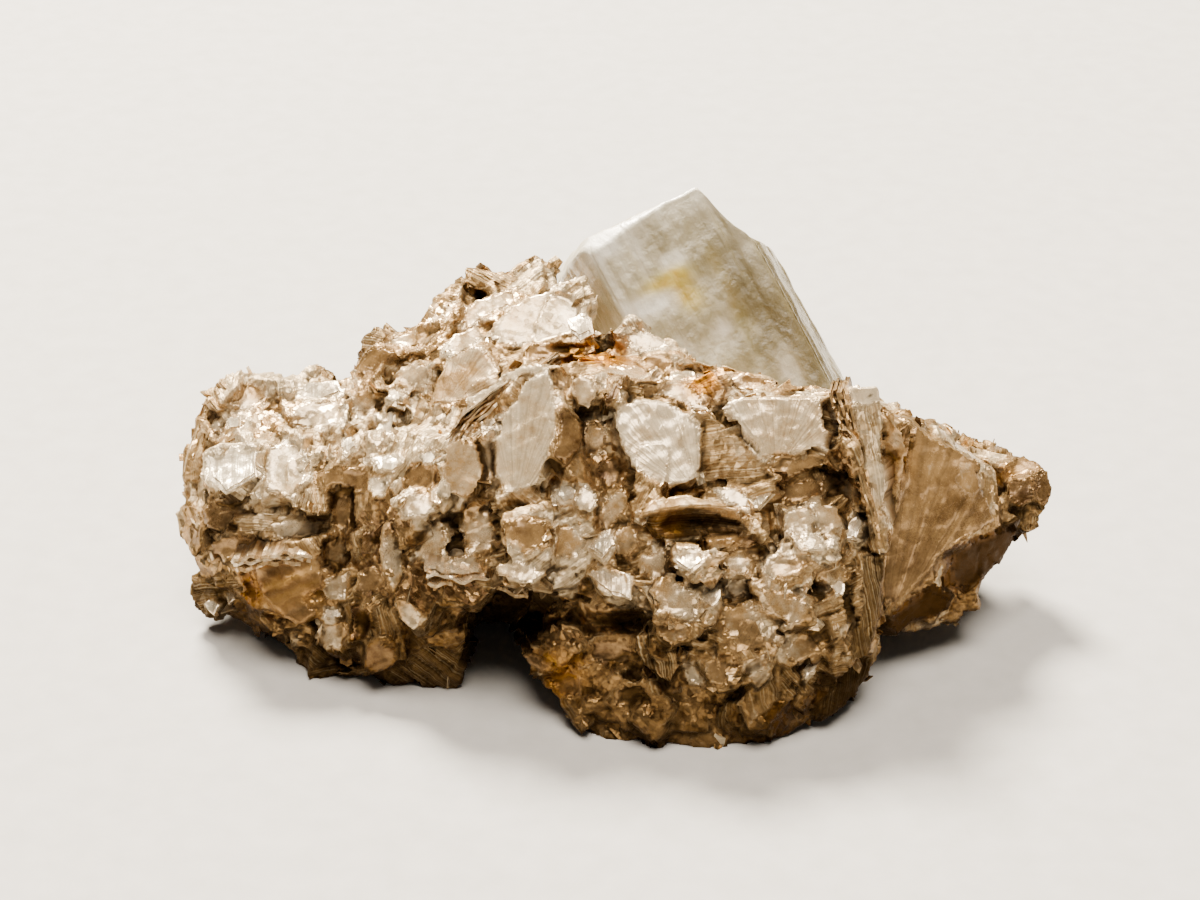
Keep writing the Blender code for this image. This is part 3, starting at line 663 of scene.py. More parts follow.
# %% Main faces
# name: facing, lift mm, thickness mm, tint, outline
MAIN_FACES = {
    "pale_fan": ((-0.28, -0.80, 0.53), 0.25, 1.6, 0.10,
                 ((527, 376), (548, 372), (557, 402), (556, 425), (546, 462), (538, 486),
                  (506, 494), (493, 474), (488, 448), (502, 418))),
    "six_sided_flake": ((0.02, -0.76, 0.65), 0.2, 1.4, 0.06,
                        ((612, 424), (620, 405), (642, 399), (668, 400), (700, 420), (701, 470),
                         (686, 487), (660, 486), (634, 470))),
    "straight_top_plate": ((0.02, -0.78, 0.62), 0.3, 1.8, 0.18,
                           ((724, 402), (732, 396), (780, 393), (816, 396), (824, 404), (828, 430),
                            (826, 448), (790, 455), (764, 456), (738, 430))),
    "oval_book": ((-0.30, -0.86, 0.41), 0.2, 1.4, 0.42,
                  ((443, 446), (456, 435), (474, 438), (483, 456), (484, 480), (470, 498),
                   (450, 494), (441, 470))),
    "end_face": ((0.32, -0.86, 0.40), 0.35, 1.6, 0.64,
                 ((916, 420), (930, 434), (957, 447), (982, 460), (988, 480), (1002, 524),
                  (966, 536), (944, 552), (932, 572), (900, 600), (884, 610), (886, 550),
                  (900, 495), (908, 450))),
    "end_wedge": ((-0.35, -0.90, 0.25), 0.3, 1.2, 0.46,
                  ((886, 416), (905, 411), (915, 418), (909, 450), (898, 495), (887, 535),
                   (883, 546), (883, 480))),
    "fan_top": ((-0.10, -0.85, 0.52), 0.5, 1.6, 0.00,
                ((846, 386), (856, 383), (880, 384), (883, 402), (880, 440), (876, 480),
                 (866, 440), (856, 410))),
    "elliptic_flake": ((-0.22, -0.66, 0.72), 0.25, 1.2, 0.30,
                       ((430, 404), (434, 380), (448, 360), (470, 346), (482, 345), (500, 368),
                        (500, 380), (478, 392), (456, 402))),
    "rose_slab": ((-0.02, -0.60, 0.80), 0.3, 1.4, 0.12,
                  ((488, 326), (510, 303), (545, 289), (572, 291), (584, 306), (576, 330),
                   (548, 338), (520, 345), (500, 344))),
    "golden_face": ((-0.30, -0.84, 0.45), 0.2, 1.4, 0.66,
                    ((248, 562), (284, 557), (318, 560), (323, 588), (300, 598), (318, 612),
                     (300, 628), (280, 618), (262, 594))),
    "round_flake": ((-0.10, -0.78, 0.62), 0.5, 0.7, 0.24,
                    ((571, 382), (580, 372), (592, 377), (599, 395), (590, 411), (577, 405))),
    "brow": ((0.10, -0.45, 0.89), 0.5, 0.7, 0.44,
             ((632, 517), (648, 501), (680, 493), (712, 498), (744, 510), (770, 538),
              (750, 534), (720, 520), (690, 512), (660, 514))),
}
# frame points that the streaks of a face fan out from
FAN_HUBS = {"pale_fan": (514, 506), "straight_top_plate": (776, 470), "six_sided_flake": (700, 500),
            "end_face": (884, 640), "fan_top": (883, 552), "elliptic_flake": (440, 410)}
print("main faces:", len(MAIN_FACES), "of them fanned:", len(FAN_HUBS))

# %% [markdown]
# Between them lie many smaller faces.  They are grouped by where they are and by which way they
# look: to the front, up, to the left, to the right, down, as the solid does there, or towards the
# lamp, where they glint.  A face that shows its sheets edge on has a fourth entry, the way across
# those sheets.  A tint above one adds painted shade, for faces that lie in shadow.

# %% Smaller faces
FACING = {
    "front": (0.00, -0.84, 0.54), "up": (-0.08, -0.55, 0.83), "left": (-0.50, -0.70, 0.50),
    "right": (0.45, -0.72, 0.53), "glint": (-0.20, -0.40, 0.89), "down": (0.05, -0.99, 0.10),
    "skin": None,        # as the solid faces there
}
# facing, tint (above one it adds painted shade), outline, and the grain where there is one
SMALLER_FACES = {
    "edges": (
        ("front", 0.2, ((852, 400), (864, 404), (884, 402), (885, 460), (886, 552), (880, 550),
         (866, 480)), (1.0, 0.1, 0.15)),
        ("front", 0.42, ((702, 414), (720, 420), (736, 434), (754, 452), (774, 478), (748, 488),
         (722, 480), (698, 488)), (-0.1, 0.3, 0.95)),
        ("front", 0.34, ((232, 508), (264, 514), (300, 516), (334, 512), (332, 530), (300, 540),
         (266, 538), (238, 532)), (0.05, 0.3, 0.95)),
        # the bulge's right flank and the hollow under the brow take a tint above one, as painted shade
        ("right", 1.15, ((864, 556), (884, 552), (886, 600), (872, 656), (850, 664), (862, 606)), (0.9,
         0.2, 0.1)),
        ("right", 1.35, ((866, 652), (874, 660), (858, 696), (834, 720), (816, 716), (840, 680)), (0.8,
         0.3, -0.4)),
        ("front", 0.3, ((716, 514), (740, 508), (772, 536), (764, 546), (740, 532)), (-0.3, 0.3, 0.9)),
        ("front", 1.1, ((640, 516), (690, 506), (740, 518), (764, 542), (720, 548), (660, 540)), (0.0,
         0.3, 0.95)),
        ("front", 0.45, ((700, 534), (735, 530), (766, 546), (760, 580), (730, 584), (704, 560))),
    ),
    "lobe": (
        ("glint", 0.0, ((200, 454), (226, 446), (262, 442), (260, 476), (238, 490), (224, 498),
         (206, 480))),
        ("glint", 0.0, ((286, 399), (306, 382), (340, 379), (346, 392), (322, 402))),
        ("glint", 0.02, ((226, 418), (240, 417), (240, 427), (229, 429))),
        ("up", 0.12, ((211, 419), (221, 418), (221, 432), (213, 432))),
        ("glint", 0.0, ((374, 434), (383, 412), (397, 410), (393, 434), (381, 441))),
        ("glint", 0.02, ((340, 442), (352, 435), (357, 449), (346, 459))),
        ("glint", 0.0, ((371, 457), (400, 452), (405, 460), (393, 471), (377, 469))),
        ("up", 0.02, ((369, 478), (389, 476), (388, 494), (375, 493))),
        ("up", 0.1, ((264, 444), (300, 436), (312, 470), (292, 500), (262, 498))),
        ("up", 0.22, ((286, 406), (345, 396), (352, 420), (318, 432), (292, 426))),
        ("up", 0.36, ((222, 402), (240, 384), (266, 384), (270, 398), (246, 412))),
        ("front", 0.52, ((204, 498), (226, 502), (248, 494), (256, 514), (228, 522), (208, 516))),
        ("front", 0.62, ((312, 474), (340, 464), (368, 470), (368, 492), (330, 498))),
        ("front", 0.14, ((270, 524), (290, 519), (322, 521), (314, 536), (278, 540))),
        ("down", 0.74, ((206, 540), (250, 534), (262, 550), (230, 560), (208, 556))),
        ("left", 0.9, ((236, 574), (248, 566), (258, 590), (262, 606), (250, 602))),
        ("front", 0.1, ((231, 564), (246, 556), (262, 558), (250, 570))),
        ("glint", 0.05, ((203, 604), (212, 596), (221, 604), (214, 616))),
        ("glint", 0.1, ((223, 592), (231, 586), (238, 598), (228, 606))),
        ("front", 0.46, ((322, 540), (344, 532), (352, 556), (336, 576), (322, 566))),
        ("right", 0.8, ((358, 534), (374, 524), (382, 538), (370, 558), (358, 556))),
        ("front", 0.55, ((330, 484), (352, 486), (356, 528), (340, 538), (328, 510))),
        ("front", 0.6, ((198, 504), (232, 510), (238, 530), (206, 530))),
    ),
    "foot": (
        ("left", 0.3, ((309, 634), (324, 621), (344, 622), (350, 634), (338, 652), (322, 648))),
        ("glint", 0.02, ((322, 602), (341, 607), (343, 616), (331, 621), (322, 617))),
        ("front", 0.18, ((322, 584), (340, 570), (352, 576), (346, 598), (326, 600))),
        ("right", 0.88, ((347, 603), (370, 602), (378, 624), (369, 640), (350, 642))),
        ("down", 0.82, ((362, 647), (378, 638), (398, 649), (396, 667), (376, 677), (361, 668))),
        ("front", 0.55, ((352, 592), (358, 574), (374, 566), (386, 580), (380, 592), (362, 596))),
        ("front", 0.2, ((386, 520), (402, 540), (404, 576), (394, 600), (382, 560))),
        ("left", 0.24, ((396, 596), (412, 600), (424, 618), (412, 634), (398, 620))),
    ),
    "crown": (
        ("left", 0.66, ((352, 372), (366, 348), (392, 342), (404, 350), (384, 364), (366, 382))),
        ("up", 0.34, ((372, 344), (400, 334), (436, 320), (446, 326), (424, 346), (396, 352))),
        ("up", 0.3, ((448, 318), (476, 298), (516, 287), (528, 296), (494, 312), (462, 332))),
        ("up", 0.14, ((440, 354), (452, 336), (478, 320), (487, 330), (476, 346), (456, 356))),
        ("glint", 0.02, ((565, 318), (580, 312), (593, 320), (597, 335), (580, 342), (568, 332))),
        ("front", 0.62, ((524, 346), (546, 340), (576, 342), (580, 354), (546, 360), (520, 362))),
        ("left", 0.2, ((392, 376), (416, 360), (432, 364), (428, 392), (404, 398))),
        ("front", 0.34, ((346, 400), (366, 388), (388, 392), (380, 410), (356, 424))),
        ("front", 0.44, ((548, 364), (562, 366), (572, 382), (568, 394), (556, 388))),
        ("up", 0.22, ((552, 386), (560, 392), (566, 404), (560, 412), (553, 404))),
        ("left", 0.12, ((500, 374), (520, 364), (545, 360), (552, 368), (522, 374), (504, 386))),
        ("left", 0.06, ((462, 398), (482, 388), (500, 378), (506, 386), (484, 400), (464, 410))),
        ("left", 0.62, ((456, 414), (486, 402), (508, 390), (500, 410), (478, 428), (454, 430))),
        ("up", 0.16, ((620, 336), (644, 330), (668, 336), (676, 348), (650, 350), (628, 346))),
        ("front", 0.46, ((640, 352), (664, 352), (676, 362), (668, 378), (648, 372))),
        ("front", 0.42, ((708, 376), (738, 366), (770, 374), (772, 388), (736, 392), (712, 392))),
        ("up", 0.12, ((648, 394), (660, 382), (682, 379), (700, 392), (712, 410), (700, 412),
         (670, 398))),
        ("right", 0.84, ((604, 402), (612, 386), (622, 374), (628, 378), (618, 396), (608, 412))),
    ),
    "middle": (
        ("right", 0.78, ((558, 428), (562, 404), (576, 410), (590, 426), (584, 450), (566, 470),
         (550, 462))),
        ("front", 0.4, ((580, 420), (602, 424), (608, 440), (600, 462), (584, 458))),
        ("front", 0.2, ((472, 438), (490, 428), (497, 454), (496, 480), (486, 482))),
        ("glint", 0.0, ((419, 456), (432, 444), (438, 454), (434, 463), (422, 464))),
        ("left", 0.66, ((402, 474), (414, 462), (438, 465), (440, 484), (426, 496), (404, 490))),
        ("up", 0.22, ((398, 502), (414, 488), (436, 490), (440, 505), (426, 518), (402, 518))),
        ("left", 0.22, ((406, 538), (420, 523), (444, 522), (448, 542), (440, 562), (412, 562))),
        ("front", 0.28, ((464, 502), (490, 498), (494, 520), (498, 552), (466, 562), (460, 530))),
        ("front", 0.6, ((496, 518), (524, 516), (550, 522), (554, 544), (524, 556), (502, 544))),
        ("front", 0.42, ((548, 528), (570, 522), (588, 542), (576, 560), (552, 560))),
        ("glint", 0.03, ((551, 496), (556, 480), (574, 475), (582, 484), (576, 506), (560, 510))),
        ("up", 0.16, ((578, 482), (596, 488), (600, 503), (588, 512), (576, 508))),
        ("right", 0.84, ((600, 462), (614, 454), (632, 468), (626, 492), (608, 490), (598, 476))),
        ("glint", 0.1, ((588, 548), (600, 530), (612, 526), (616, 544), (602, 560))),
        ("front", 0.3, ((592, 526), (606, 502), (622, 486), (638, 494), (622, 514), (604, 536))),
        ("front", 0.36, ((612, 530), (634, 520), (640, 544), (628, 562), (614, 556))),
        ("up", 0.24, ((440, 560), (464, 552), (490, 560), (486, 576), (458, 580), (442, 576))),
        ("up", 0.28, ((488, 562), (520, 560), (545, 572), (540, 588), (512, 580), (490, 576))),
        ("front", 0.56, ((762, 470), (776, 450), (800, 456), (824, 450), (820, 468), (790, 480))),
        ("up", 0.1, ((736, 428), (752, 438), (762, 448), (768, 464), (756, 458), (742, 440))),
        ("front", 0.5, ((778, 484), (812, 478), (818, 496), (800, 506), (780, 500))),
        ("up", 0.04, ((714, 488), (736, 486), (752, 500), (748, 512), (726, 502))),
        ("right", 0.66, ((818, 482), (832, 470), (848, 484), (836, 498), (820, 498))),
        ("front", 0.22, ((780, 510), (806, 502), (820, 520), (806, 540), (784, 534))),
        ("front", 0.3, ((806, 500), (840, 500), (848, 524), (826, 540), (812, 526))),
        ("glint", 0.06, ((842, 516), (858, 508), (864, 524), (858, 542), (846, 540))),
    ),
    "bulge": (
        ("glint", 0.1, ((586, 570), (598, 562), (632, 574), (634, 602), (614, 596), (594, 582))),
        ("glint", 0.16, ((673, 554), (682, 546), (702, 548), (706, 562), (692, 574), (678, 566))),
        ("front", 0.36, ((640, 556), (670, 546), (676, 572), (660, 584), (640, 574))),
        ("up", 0.22, ((718, 562), (742, 548), (754, 560), (750, 575), (734, 574))),
        ("front", 0.35, ((744, 574), (756, 562), (768, 574), (772, 588), (752, 594))),
        ("front", 0.16, ((719, 582), (734, 576), (750, 580), (748, 594), (734, 600), (724, 592))),
        ("glint", 0.06, ((701, 602), (704, 582), (718, 580), (721, 596), (712, 608))),
        ("front", 0.3, ((640, 584), (670, 580), (700, 592), (698, 614), (676, 620), (650, 612))),
        ("front", 0.38, ((756, 586), (784, 592), (810, 602), (820, 622), (792, 630), (762, 612))),
        ("front", 0.32, ((716, 608), (748, 600), (762, 618), (752, 640), (724, 640))),
        ("right", 0.42, ((800, 634), (828, 620), (836, 640), (816, 660), (792, 668), (778, 650))),
        ("up", 0.3, ((760, 552), (796, 556), (818, 562), (800, 578), (776, 582), (758, 572))),
        ("right", 0.34, ((812, 572), (840, 560), (850, 574), (842, 594), (822, 590))),
        ("glint", 0.02, ((828, 584), (840, 578), (846, 588), (838, 598), (830, 594))),
        ("front", 0.12, ((676, 656), (686, 650), (702, 676), (706, 690), (690, 684))),
        ("front", 0.14, ((740, 662), (764, 654), (772, 678), (758, 692), (746, 678))),
        ("glint", 0.08, ((798, 672), (816, 654), (824, 658), (814, 674), (804, 680))),
        ("front", 0.46, ((698, 662), (732, 650), (742, 664), (728, 688), (708, 686))),
        ("front", 0.52, ((650, 620), (690, 622), (696, 640), (668, 648), (652, 636))),
        ("down", 0.8, ((590, 640), (630, 636), (640, 660), (610, 672), (590, 660))),
        ("left", 0.72, ((540, 676), (566, 664), (586, 678), (584, 700), (560, 696))),
        ("left", 0.66, ((514, 650), (536, 656), (556, 668), (546, 674), (524, 662))),
        ("down", 0.58, ((612, 690), (640, 686), (652, 702), (630, 712), (612, 706))),
    ),
    "end": (
        ("right", 0.36, ((960, 462), (980, 464), (986, 486), (972, 500), (958, 482))),
        # the end's underside, darkened by a tint above one as painted shade
        ("skin", 1.85, ((944, 552), (972, 538), (1000, 528), (1030, 520), (1014, 552), (990, 576),
         (962, 596), (940, 590))),
        ("skin", 1.6, ((884, 620), (904, 602), (934, 584), (960, 598), (940, 616), (908, 624),
         (892, 650))),
        ("up", 0.66, ((1002, 464), (1026, 453), (1044, 462), (1036, 474), (1008, 476))),
        ("right", 0.7, ((1037, 472), (1049, 466), (1054, 488), (1047, 508), (1036, 502))),
        ("front", 0.82, ((1006, 478), (1034, 475), (1035, 500), (1020, 510), (1006, 496))),
        ("left", 0.26, ((838, 470), (852, 478), (862, 500), (852, 506), (840, 492))),
    ),
}
print("smaller faces:", sum(len(faces) for faces in SMALLER_FACES.values()))

# %% [markdown]
# # Laying the faces
# Each face lies on a plane through the mica seen behind its outline, so that it neither floats
# nor sinks.  Its guarded inner part stays free of other forms.  One that glints gets a crisp
# sheet more.

# %% Lay an outline on the mica
def to_plane(outline, middle, normal, axes):
    """Lay an outline given in the frame on a plane, as flat points in mm."""
    across, along, up = axes
    flat = []
    for right, down in outline:
        offset = np.array(on_plane(right, down, middle, normal) - middle)
        flat.append((offset @ across, offset @ along))
    flat = np.array(flat)
    after = np.roll(flat, -1, axis=0)
    turn = (flat[:, 0] * after[:, 1] - flat[:, 1] * after[:, 0]).sum()
    return flat if turn > 0 else flat[::-1]


MOST_LIFT = 0.5          # mm, the most that a face is lifted to clear the mica
COVER_SHARES = (0.45, 0.85)  # where a face is compared with the mica, from its middle to its edge
MAIN_GUARD = 0.92        # share of a main face that nothing else may hide
SMALLER_GUARD = 0.55     # and of a smaller one, whose neighbours overlap its edges
laid = []                # outline, guarded outline, middle and facing of each laid face


def place_face(outline, facing, lift, guard):
    """Middle, facing, axes and flat outline of a face laid over what is seen there, lifted until
    most of the mica lies behind it."""
    right, down = np.mean(outline, axis=0)
    spot, skin = seen_spot(right, down)
    normal = Vector(facing or skin).normalized()
    here = np.array([right]), np.array([down])
    for other, guarded, other_middle, other_normal in laid:
        if within(other, *here)[0]:
            over = on_plane(right, down, other_middle, other_normal)
            if (over - view_eye).length < (spot - view_eye).length:
                spot = over
    heights = [(seen_spot(right + (x - right) * share, down + (y - down) * share)[0] - spot)
               .dot(normal) for x, y in outline for share in COVER_SHARES]
    middle = spot + normal * float(np.clip(np.median(heights), lift, MOST_LIFT))
    guarded = [(right + (x - right) * guard, down + (y - down) * guard) for x, y in outline]
    laid.append((outline, guarded, middle, normal))
    axes = plane_axes(normal, level=view_right)
    return middle, normal, axes, to_plane(outline, middle, normal, axes)


print("a face is lifted by %.1f mm at most" % MOST_LIFT)

# %% Keep the faces free
HIDING_MM = -0.1         # what lies further out than this from a face's plane may hide it


def hides_face(points):
    """True where one of the points lies before the guarded part of a laid face."""
    points = np.asarray(points)
    across, down = frame_places(points)
    near = (laid_low[:, 0] < across.max()) & (laid_high[:, 0] > across.min())
    near &= (laid_low[:, 1] < down.max()) & (laid_high[:, 1] > down.min())
    for index in np.flatnonzero(near):
        outline, guarded, middle, normal = laid[index]
        ahead = (points - np.array(middle)) @ np.array(normal) > HIDING_MM
        if (ahead & within(guarded, across, down)).any():
            return True
    return False


print("guarded: %.2f of a main face, %.2f of a smaller one" % (MAIN_GUARD, SMALLER_GUARD))

# %% Lay all faces
SMALLER_LIFT = (-0.08, 0.12)     # mm, least and most
CHIP_RUN = 0.55          # mm between the small chips along a face's edge
CHIP_MM = 0.06
CRISP_LIFT = 0.06        # mm that a crisp sheet lies above the fused face
CRISP_THICK = 0.24
CRISP_SHARE = 0.86       # of the outline
CRISP_CURL = 0.04
CORE_THICK = (0.8, 1.6)  # mm, least and most thickness of a smaller face's book
main_rng = np.random.default_rng(7)
main_books = Heap()
cores = []               # what each face adds to the fused mass
for name, (facing, lift, thick, tint, outline) in MAIN_FACES.items():
    middle, normal, axes, flat = place_face(outline, facing, lift, MAIN_GUARD)
    hub = None
    if name in FAN_HUBS:
        hub = np.array(on_plane(*FAN_HUBS[name], middle, normal))
    cores.append((middle, normal, axes, flat, tint, thick, hub, None))
for faces in SMALLER_FACES.values():
    for facing, tint, outline, *grain in faces:
        guard = MAIN_GUARD if grain else SMALLER_GUARD
        lift = main_rng.uniform(*SMALLER_LIFT)
        middle, normal, axes, flat = place_face(outline, FACING[facing], lift, guard)
        width = float(np.linalg.norm(flat, axis=1).mean())
        if facing == "glint":
            rust = float(rust_at(np.array(middle))[0])
            add_book(main_books, main_rng, middle + normal * (CRISP_LIFT - CRISP_THICK / 2), axes,
                     chipped_edge(main_rng, flat * CRISP_SHARE, CHIP_RUN, CHIP_MM), CRISP_THICK,
                     3, tint, rust, steps=1, curl=main_rng.normal(0, CRISP_CURL))
        cores.append((middle, normal, axes, flat, tint, float(np.clip(width, *CORE_THICK)), None,
                      grain[0] if grain else None))
main_books.build("mica_main_books", muscovite_faces)
laid_low = np.array([np.min(guarded, axis=0) for outline, guarded, middle, normal in laid])
laid_high = np.array([np.max(guarded, axis=0) for outline, guarded, middle, normal in laid])
print("faces laid:", len(laid))

# %% [markdown]
# # Patches of like direction
# The mica isn't a random jumble like gravel.  Books that grew together share a direction, so one
# patch shows a field of flat faces and the next a fan of rims.  We drop seeds over the lump and
# give each a direction and a tint, which every book near it follows with some scatter.

# %% Patches
PATCH_COUNT = 210
PATCH_TILT = (4, 58)     # degrees from the skin
PATCH_TINT = (0.34, 0.22)    # middle and scatter
LOW_MM = 8.5             # below this height the mica gets painted shade: a browner tint and a darker colour
LOW_SHADE_TINT = 0.50
# where the mica is paler: frame point, radius in mm, how much
PALE_SPOTS = (((270, 440), 4.6, 0.30), ((340, 440), 3.0, 0.20), ((600, 470), 3.4, 0.16))
patch_rng = np.random.default_rng(11)


def random_spots(rng, count):
    """Points spread evenly over the lump's skin, with the facing of the skin there."""
    picked = rng.choice(len(lump_triangles), count, p=lump_areas / lump_areas.sum())
    u = rng.random((count, 1))
    v = rng.random((count, 1))
    flip = (u + v) > 1
    u = np.where(flip, 1 - u, u)
    v = np.where(flip, 1 - v, v)
    corner = lump_corners[lump_triangles[picked]]
    points = corner[:, 0] + (corner[:, 1] - corner[:, 0]) * u + (corner[:, 2] - corner[:, 0]) * v
    return points, lump_normals[picked]


def tilted(rng, normal, degrees):
    """A direction this far from a normal, towards a random side."""
    normal = np.array(normal)
    side = rng.normal(size=3)
    side -= normal * (side @ normal)
    side /= np.linalg.norm(side)
    angle = math.radians(degrees)
    return normal * math.cos(angle) + side * math.sin(angle)


BATCH = 4000             # points compared at a time


def nearest_of(points, seeds):
    """For each point, which seed is nearest."""
    found = np.empty(len(points), dtype=int)
    for start in range(0, len(points), BATCH):
        part = points[start:start + BATCH]
        gaps = ((part[:, None] - seeds[None]) ** 2).sum(axis=2)
        found[start:start + BATCH] = gaps.argmin(axis=1)
    return found


patch_points, patch_skin = random_spots(patch_rng, PATCH_COUNT)
patch_facing = np.array([tilted(patch_rng, normal, patch_rng.uniform(*PATCH_TILT))
                         for normal in patch_skin])
patch_tint = patch_rng.normal(*PATCH_TINT, PATCH_COUNT)
# painted shade: patches near the floor are given a browner tint
patch_tint += LOW_SHADE_TINT * np.clip(1 - patch_points[:, 2] / LOW_MM, 0, 1)
for place, radius, paler in PALE_SPOTS:
    gap = np.linalg.norm(patch_points - np.array(seen_spot(*place)[0]), axis=1)
    patch_tint -= paler * np.exp(-(gap / radius) ** 2)
patch_tint = np.clip(patch_tint, 0.0, 0.9)
print("patches:", PATCH_COUNT)

# %% [markdown]
# # The intergrown mass
# Most of the books are fused to their neighbours, so the specimen reads as one rugged mass and
# not as a heap.  We set many thick books half into the lump, wrap lump and books in one fine
# even mesh, and crumple that mesh: small flat facets, dents for the shaded hollows, and terraces
# on the rims.  The mesh is then parted in three so that each piece stays light.

# %% Books to fuse
FUSED_COUNT = 1100
FUSED_SIZE = (1.8, 4.8)  # mm
FUSED_THICK = (0.5, 1.5)
FUSED_SCATTER = 10.0     # degrees from the patch's own direction
FUSED_SINK = (0.46, 0.42)    # shares of its width, on a slope, and thickness, below the skin
FUSED_PROUD_MM = 0.8     # no corner of a fused book stands further out of the solid
PRISM_CLEARANCE = 1.0    # mm from the prism's faces to the middle of the nearest book
CORE_TILT = 7.0          # degrees that the second book of a face is turned from the first
CORE_DROP = 0.07         # mm that it lies below the first


def add_cores(heap, rng):
    """Two books for each laid face, the second a little lower and turned, so that the face is
    broken by a low step.  The fanned faces stay whole."""
    for middle, normal, axes, flat, tint, thick, hub, grain in cores:
        edge = chipped_edge(rng, flat, CHIP_RUN, CHIP_MM)
        add_book(heap, rng, np.array(middle - normal * thick / 2), axes, edge, thick, 2, tint,
                 steps=0, ragged=0.0, groove=0.0, grain=grain)
        if hub is not None:
            continue
        turned = tilted(rng, normal, CORE_TILT * rng.uniform(0.4, 1.0))
        edge = chipped_edge(rng, flat * rng.uniform(0.8, 1.05), CHIP_RUN, CHIP_MM)
        centre = np.array(middle) - turned * (thick / 2 + CORE_DROP)
        add_book(heap, rng, centre, plane_axes(turned, level=view_right), edge, thick, 2,
                 float(np.clip(tint + rng.normal(0, 0.06), 0, 1)), steps=0, ragged=0.0,
                 groove=0.0, grain=grain)


def stands_out(corners, allowed):
    """True where a corner lies too far outside the lump, in mm."""
    for corner in corners.tolist():
        near, facing, face, gap = lump_tree.find_nearest(corner)
        if gap > allowed and (Vector(corner) - near).dot(facing) > 0:
            return True
    return False


def books_to_fuse():
    rng = np.random.default_rng(21)
    heap = Heap()
    add_cores(heap, rng)
    points, skins = random_spots(rng, FUSED_COUNT)
    patches = nearest_of(points, patch_points)
    for point, skin, patch in zip(points, skins, patches):
        share = rng.random() ** 1.5
        size = FUSED_SIZE[0] + (FUSED_SIZE[1] - FUSED_SIZE[0]) * share
        facing = tilted(rng, patch_facing[patch], abs(rng.normal(0, FUSED_SCATTER)))
        facing = facing if facing @ skin > 0 else -facing
        slope = math.sqrt(max(0.0, 1 - float(facing @ skin) ** 2))
        outline = rough_outline(rng, size, int(rng.choice((4, 5, 5, 6))), rng.uniform(0.8, 1.4))
        thick = rng.uniform(*FUSED_THICK) * (0.6 + 0.5 * share)
        centre = point - skin * (size * FUSED_SINK[0] * slope + thick * FUSED_SINK[1])
        tint = float(np.clip(patch_tint[patch] + rng.normal(0, 0.13), 0.0, 1.0))
        axes = plane_axes(facing, rng.uniform(0, 360))
        corners = centre + outline[:, :1] * axes[0] + outline[:, 1:] * axes[1]
        corners = np.concatenate([corners, (corners + np.roll(corners, -1, axis=0)) / 2])
        corners = np.concatenate([corners, corners + axes[2] * thick / 2, [centre]])
        steps = int(rng.integers(0, 3))
        if outside_prism(point) < PRISM_CLEARANCE or stands_out(corners, FUSED_PROUD_MM):
            continue
        if not hides_face(corners):
            add_book(heap, rng, centre, axes, outline, thick, 3, tint, steps=steps, ragged=0.05,
                     groove=0.08)
    return heap


fused_books = books_to_fuse()
print("books to fuse:", len(fused_books.stacks))

# %% Wrap them in one mesh
WRAP_VOXEL = 0.15        # mm


def wrapped(heap):
    """One even mesh round the lump and a heap: points, normals, squares, edges, owners."""
    corners = np.concatenate([lump_corners] + heap.points)
    shifted = [tuple(corner + len(lump_corners) for corner in face) for face in heap.faces]
    faces = lump_triangles.tolist() + shifted
    mesh = bpy.data.meshes.new("rough mass")
    mesh.from_pydata((corners * MM).tolist(), [], faces)
    rough = new_object("rough mass", mesh)
    remesh = rough.modifiers.new("wrap", "REMESH")
    remesh.mode = "VOXEL"
    remesh.voxel_size = WRAP_VOXEL * MM
    graph = bpy.context.evaluated_depsgraph_get()
    fine = bpy.data.meshes.new_from_object(rough.evaluated_get(graph))
    bpy.data.objects.remove(rough, do_unlink=True)
    points = read_rows(fine.vertices, "co", 3) / MM
    normals = read_rows(fine.vertices, "normal", 3)
    squares = read_rows(fine.loops, "vertex_index", 1, int).reshape(-1, 4)
    edges = read_rows(fine.edges, "vertices", 2, int)
    bpy.data.meshes.remove(fine)
    tree = BVHTree.FromPolygons(corners.tolist(), faces)
    owners = [tree.find_nearest(point)[2] - len(lump_triangles) for point in points.tolist()]
    return points, normals, squares, edges, np.array(owners)


mass_points, mass_normals, mass_squares, mass_edges, mass_owners = wrapped(fused_books)
print("wrapped mass: %d points, %d squares" % (len(mass_points), len(mass_squares)))


# %% Which way the sheets lie at each point
def sheets_lie():
    """Facing, streak direction and tint of the book that each point belongs to."""
    patches = nearest_of(mass_points, patch_points)
    patch_across = np.array([plane_axes(facing)[0] for facing in patch_facing])
    in_book = mass_owners >= 0
    books = np.array(fused_books.owners)[mass_owners[in_book]]
    found = []
    for part, patch_part in enumerate((patch_facing, patch_across, patch_tint)):
        values = patch_part[patches].copy()
        values[in_book] = np.array([stack[part] for stack in fused_books.stacks])[books]
        found.append(values)
    return found


mass_facing, mass_across, mass_tint = sheets_lie()
print("share of the surface on fused books: %.2f" % (mass_owners >= 0).mean())

# %% [markdown]
# # Laid faces cut flat
# Where the wrapped mass stands before a laid face, it is pushed back to the face's plane: all the
# way in the middle and less towards the edge, so that the mica around slopes down to it.  What
# lies on a face takes its tint and its streaks, which are broad, or fan out from a hub.

# %% Cut the laid faces
BROAD_STREAKS = 0.30     # streaks per streak of the usual spacing
FAN_RADIUS_MM = 5.0      # where fanned streaks have the usual spacing
EDGE_TINT = 0.6          # share of its own tint that the mica keeps at a face's outline
CUT_AHEAD_MM = 1.5       # the mica is cut away this far before a face
CUT_BEHIND_MM = 0.12     # what lies this little behind a face belongs to it
EDGE_MM = 0.30           # the mica at the very edge of a face may still stand this far before it
EDGE_STEPS = (1.0, 0.75, 0.5, 0.25, 0.0)     # from the outline in to the guarded part
FACE_STEP = 0.5          # from here inward a point is part of the flat face


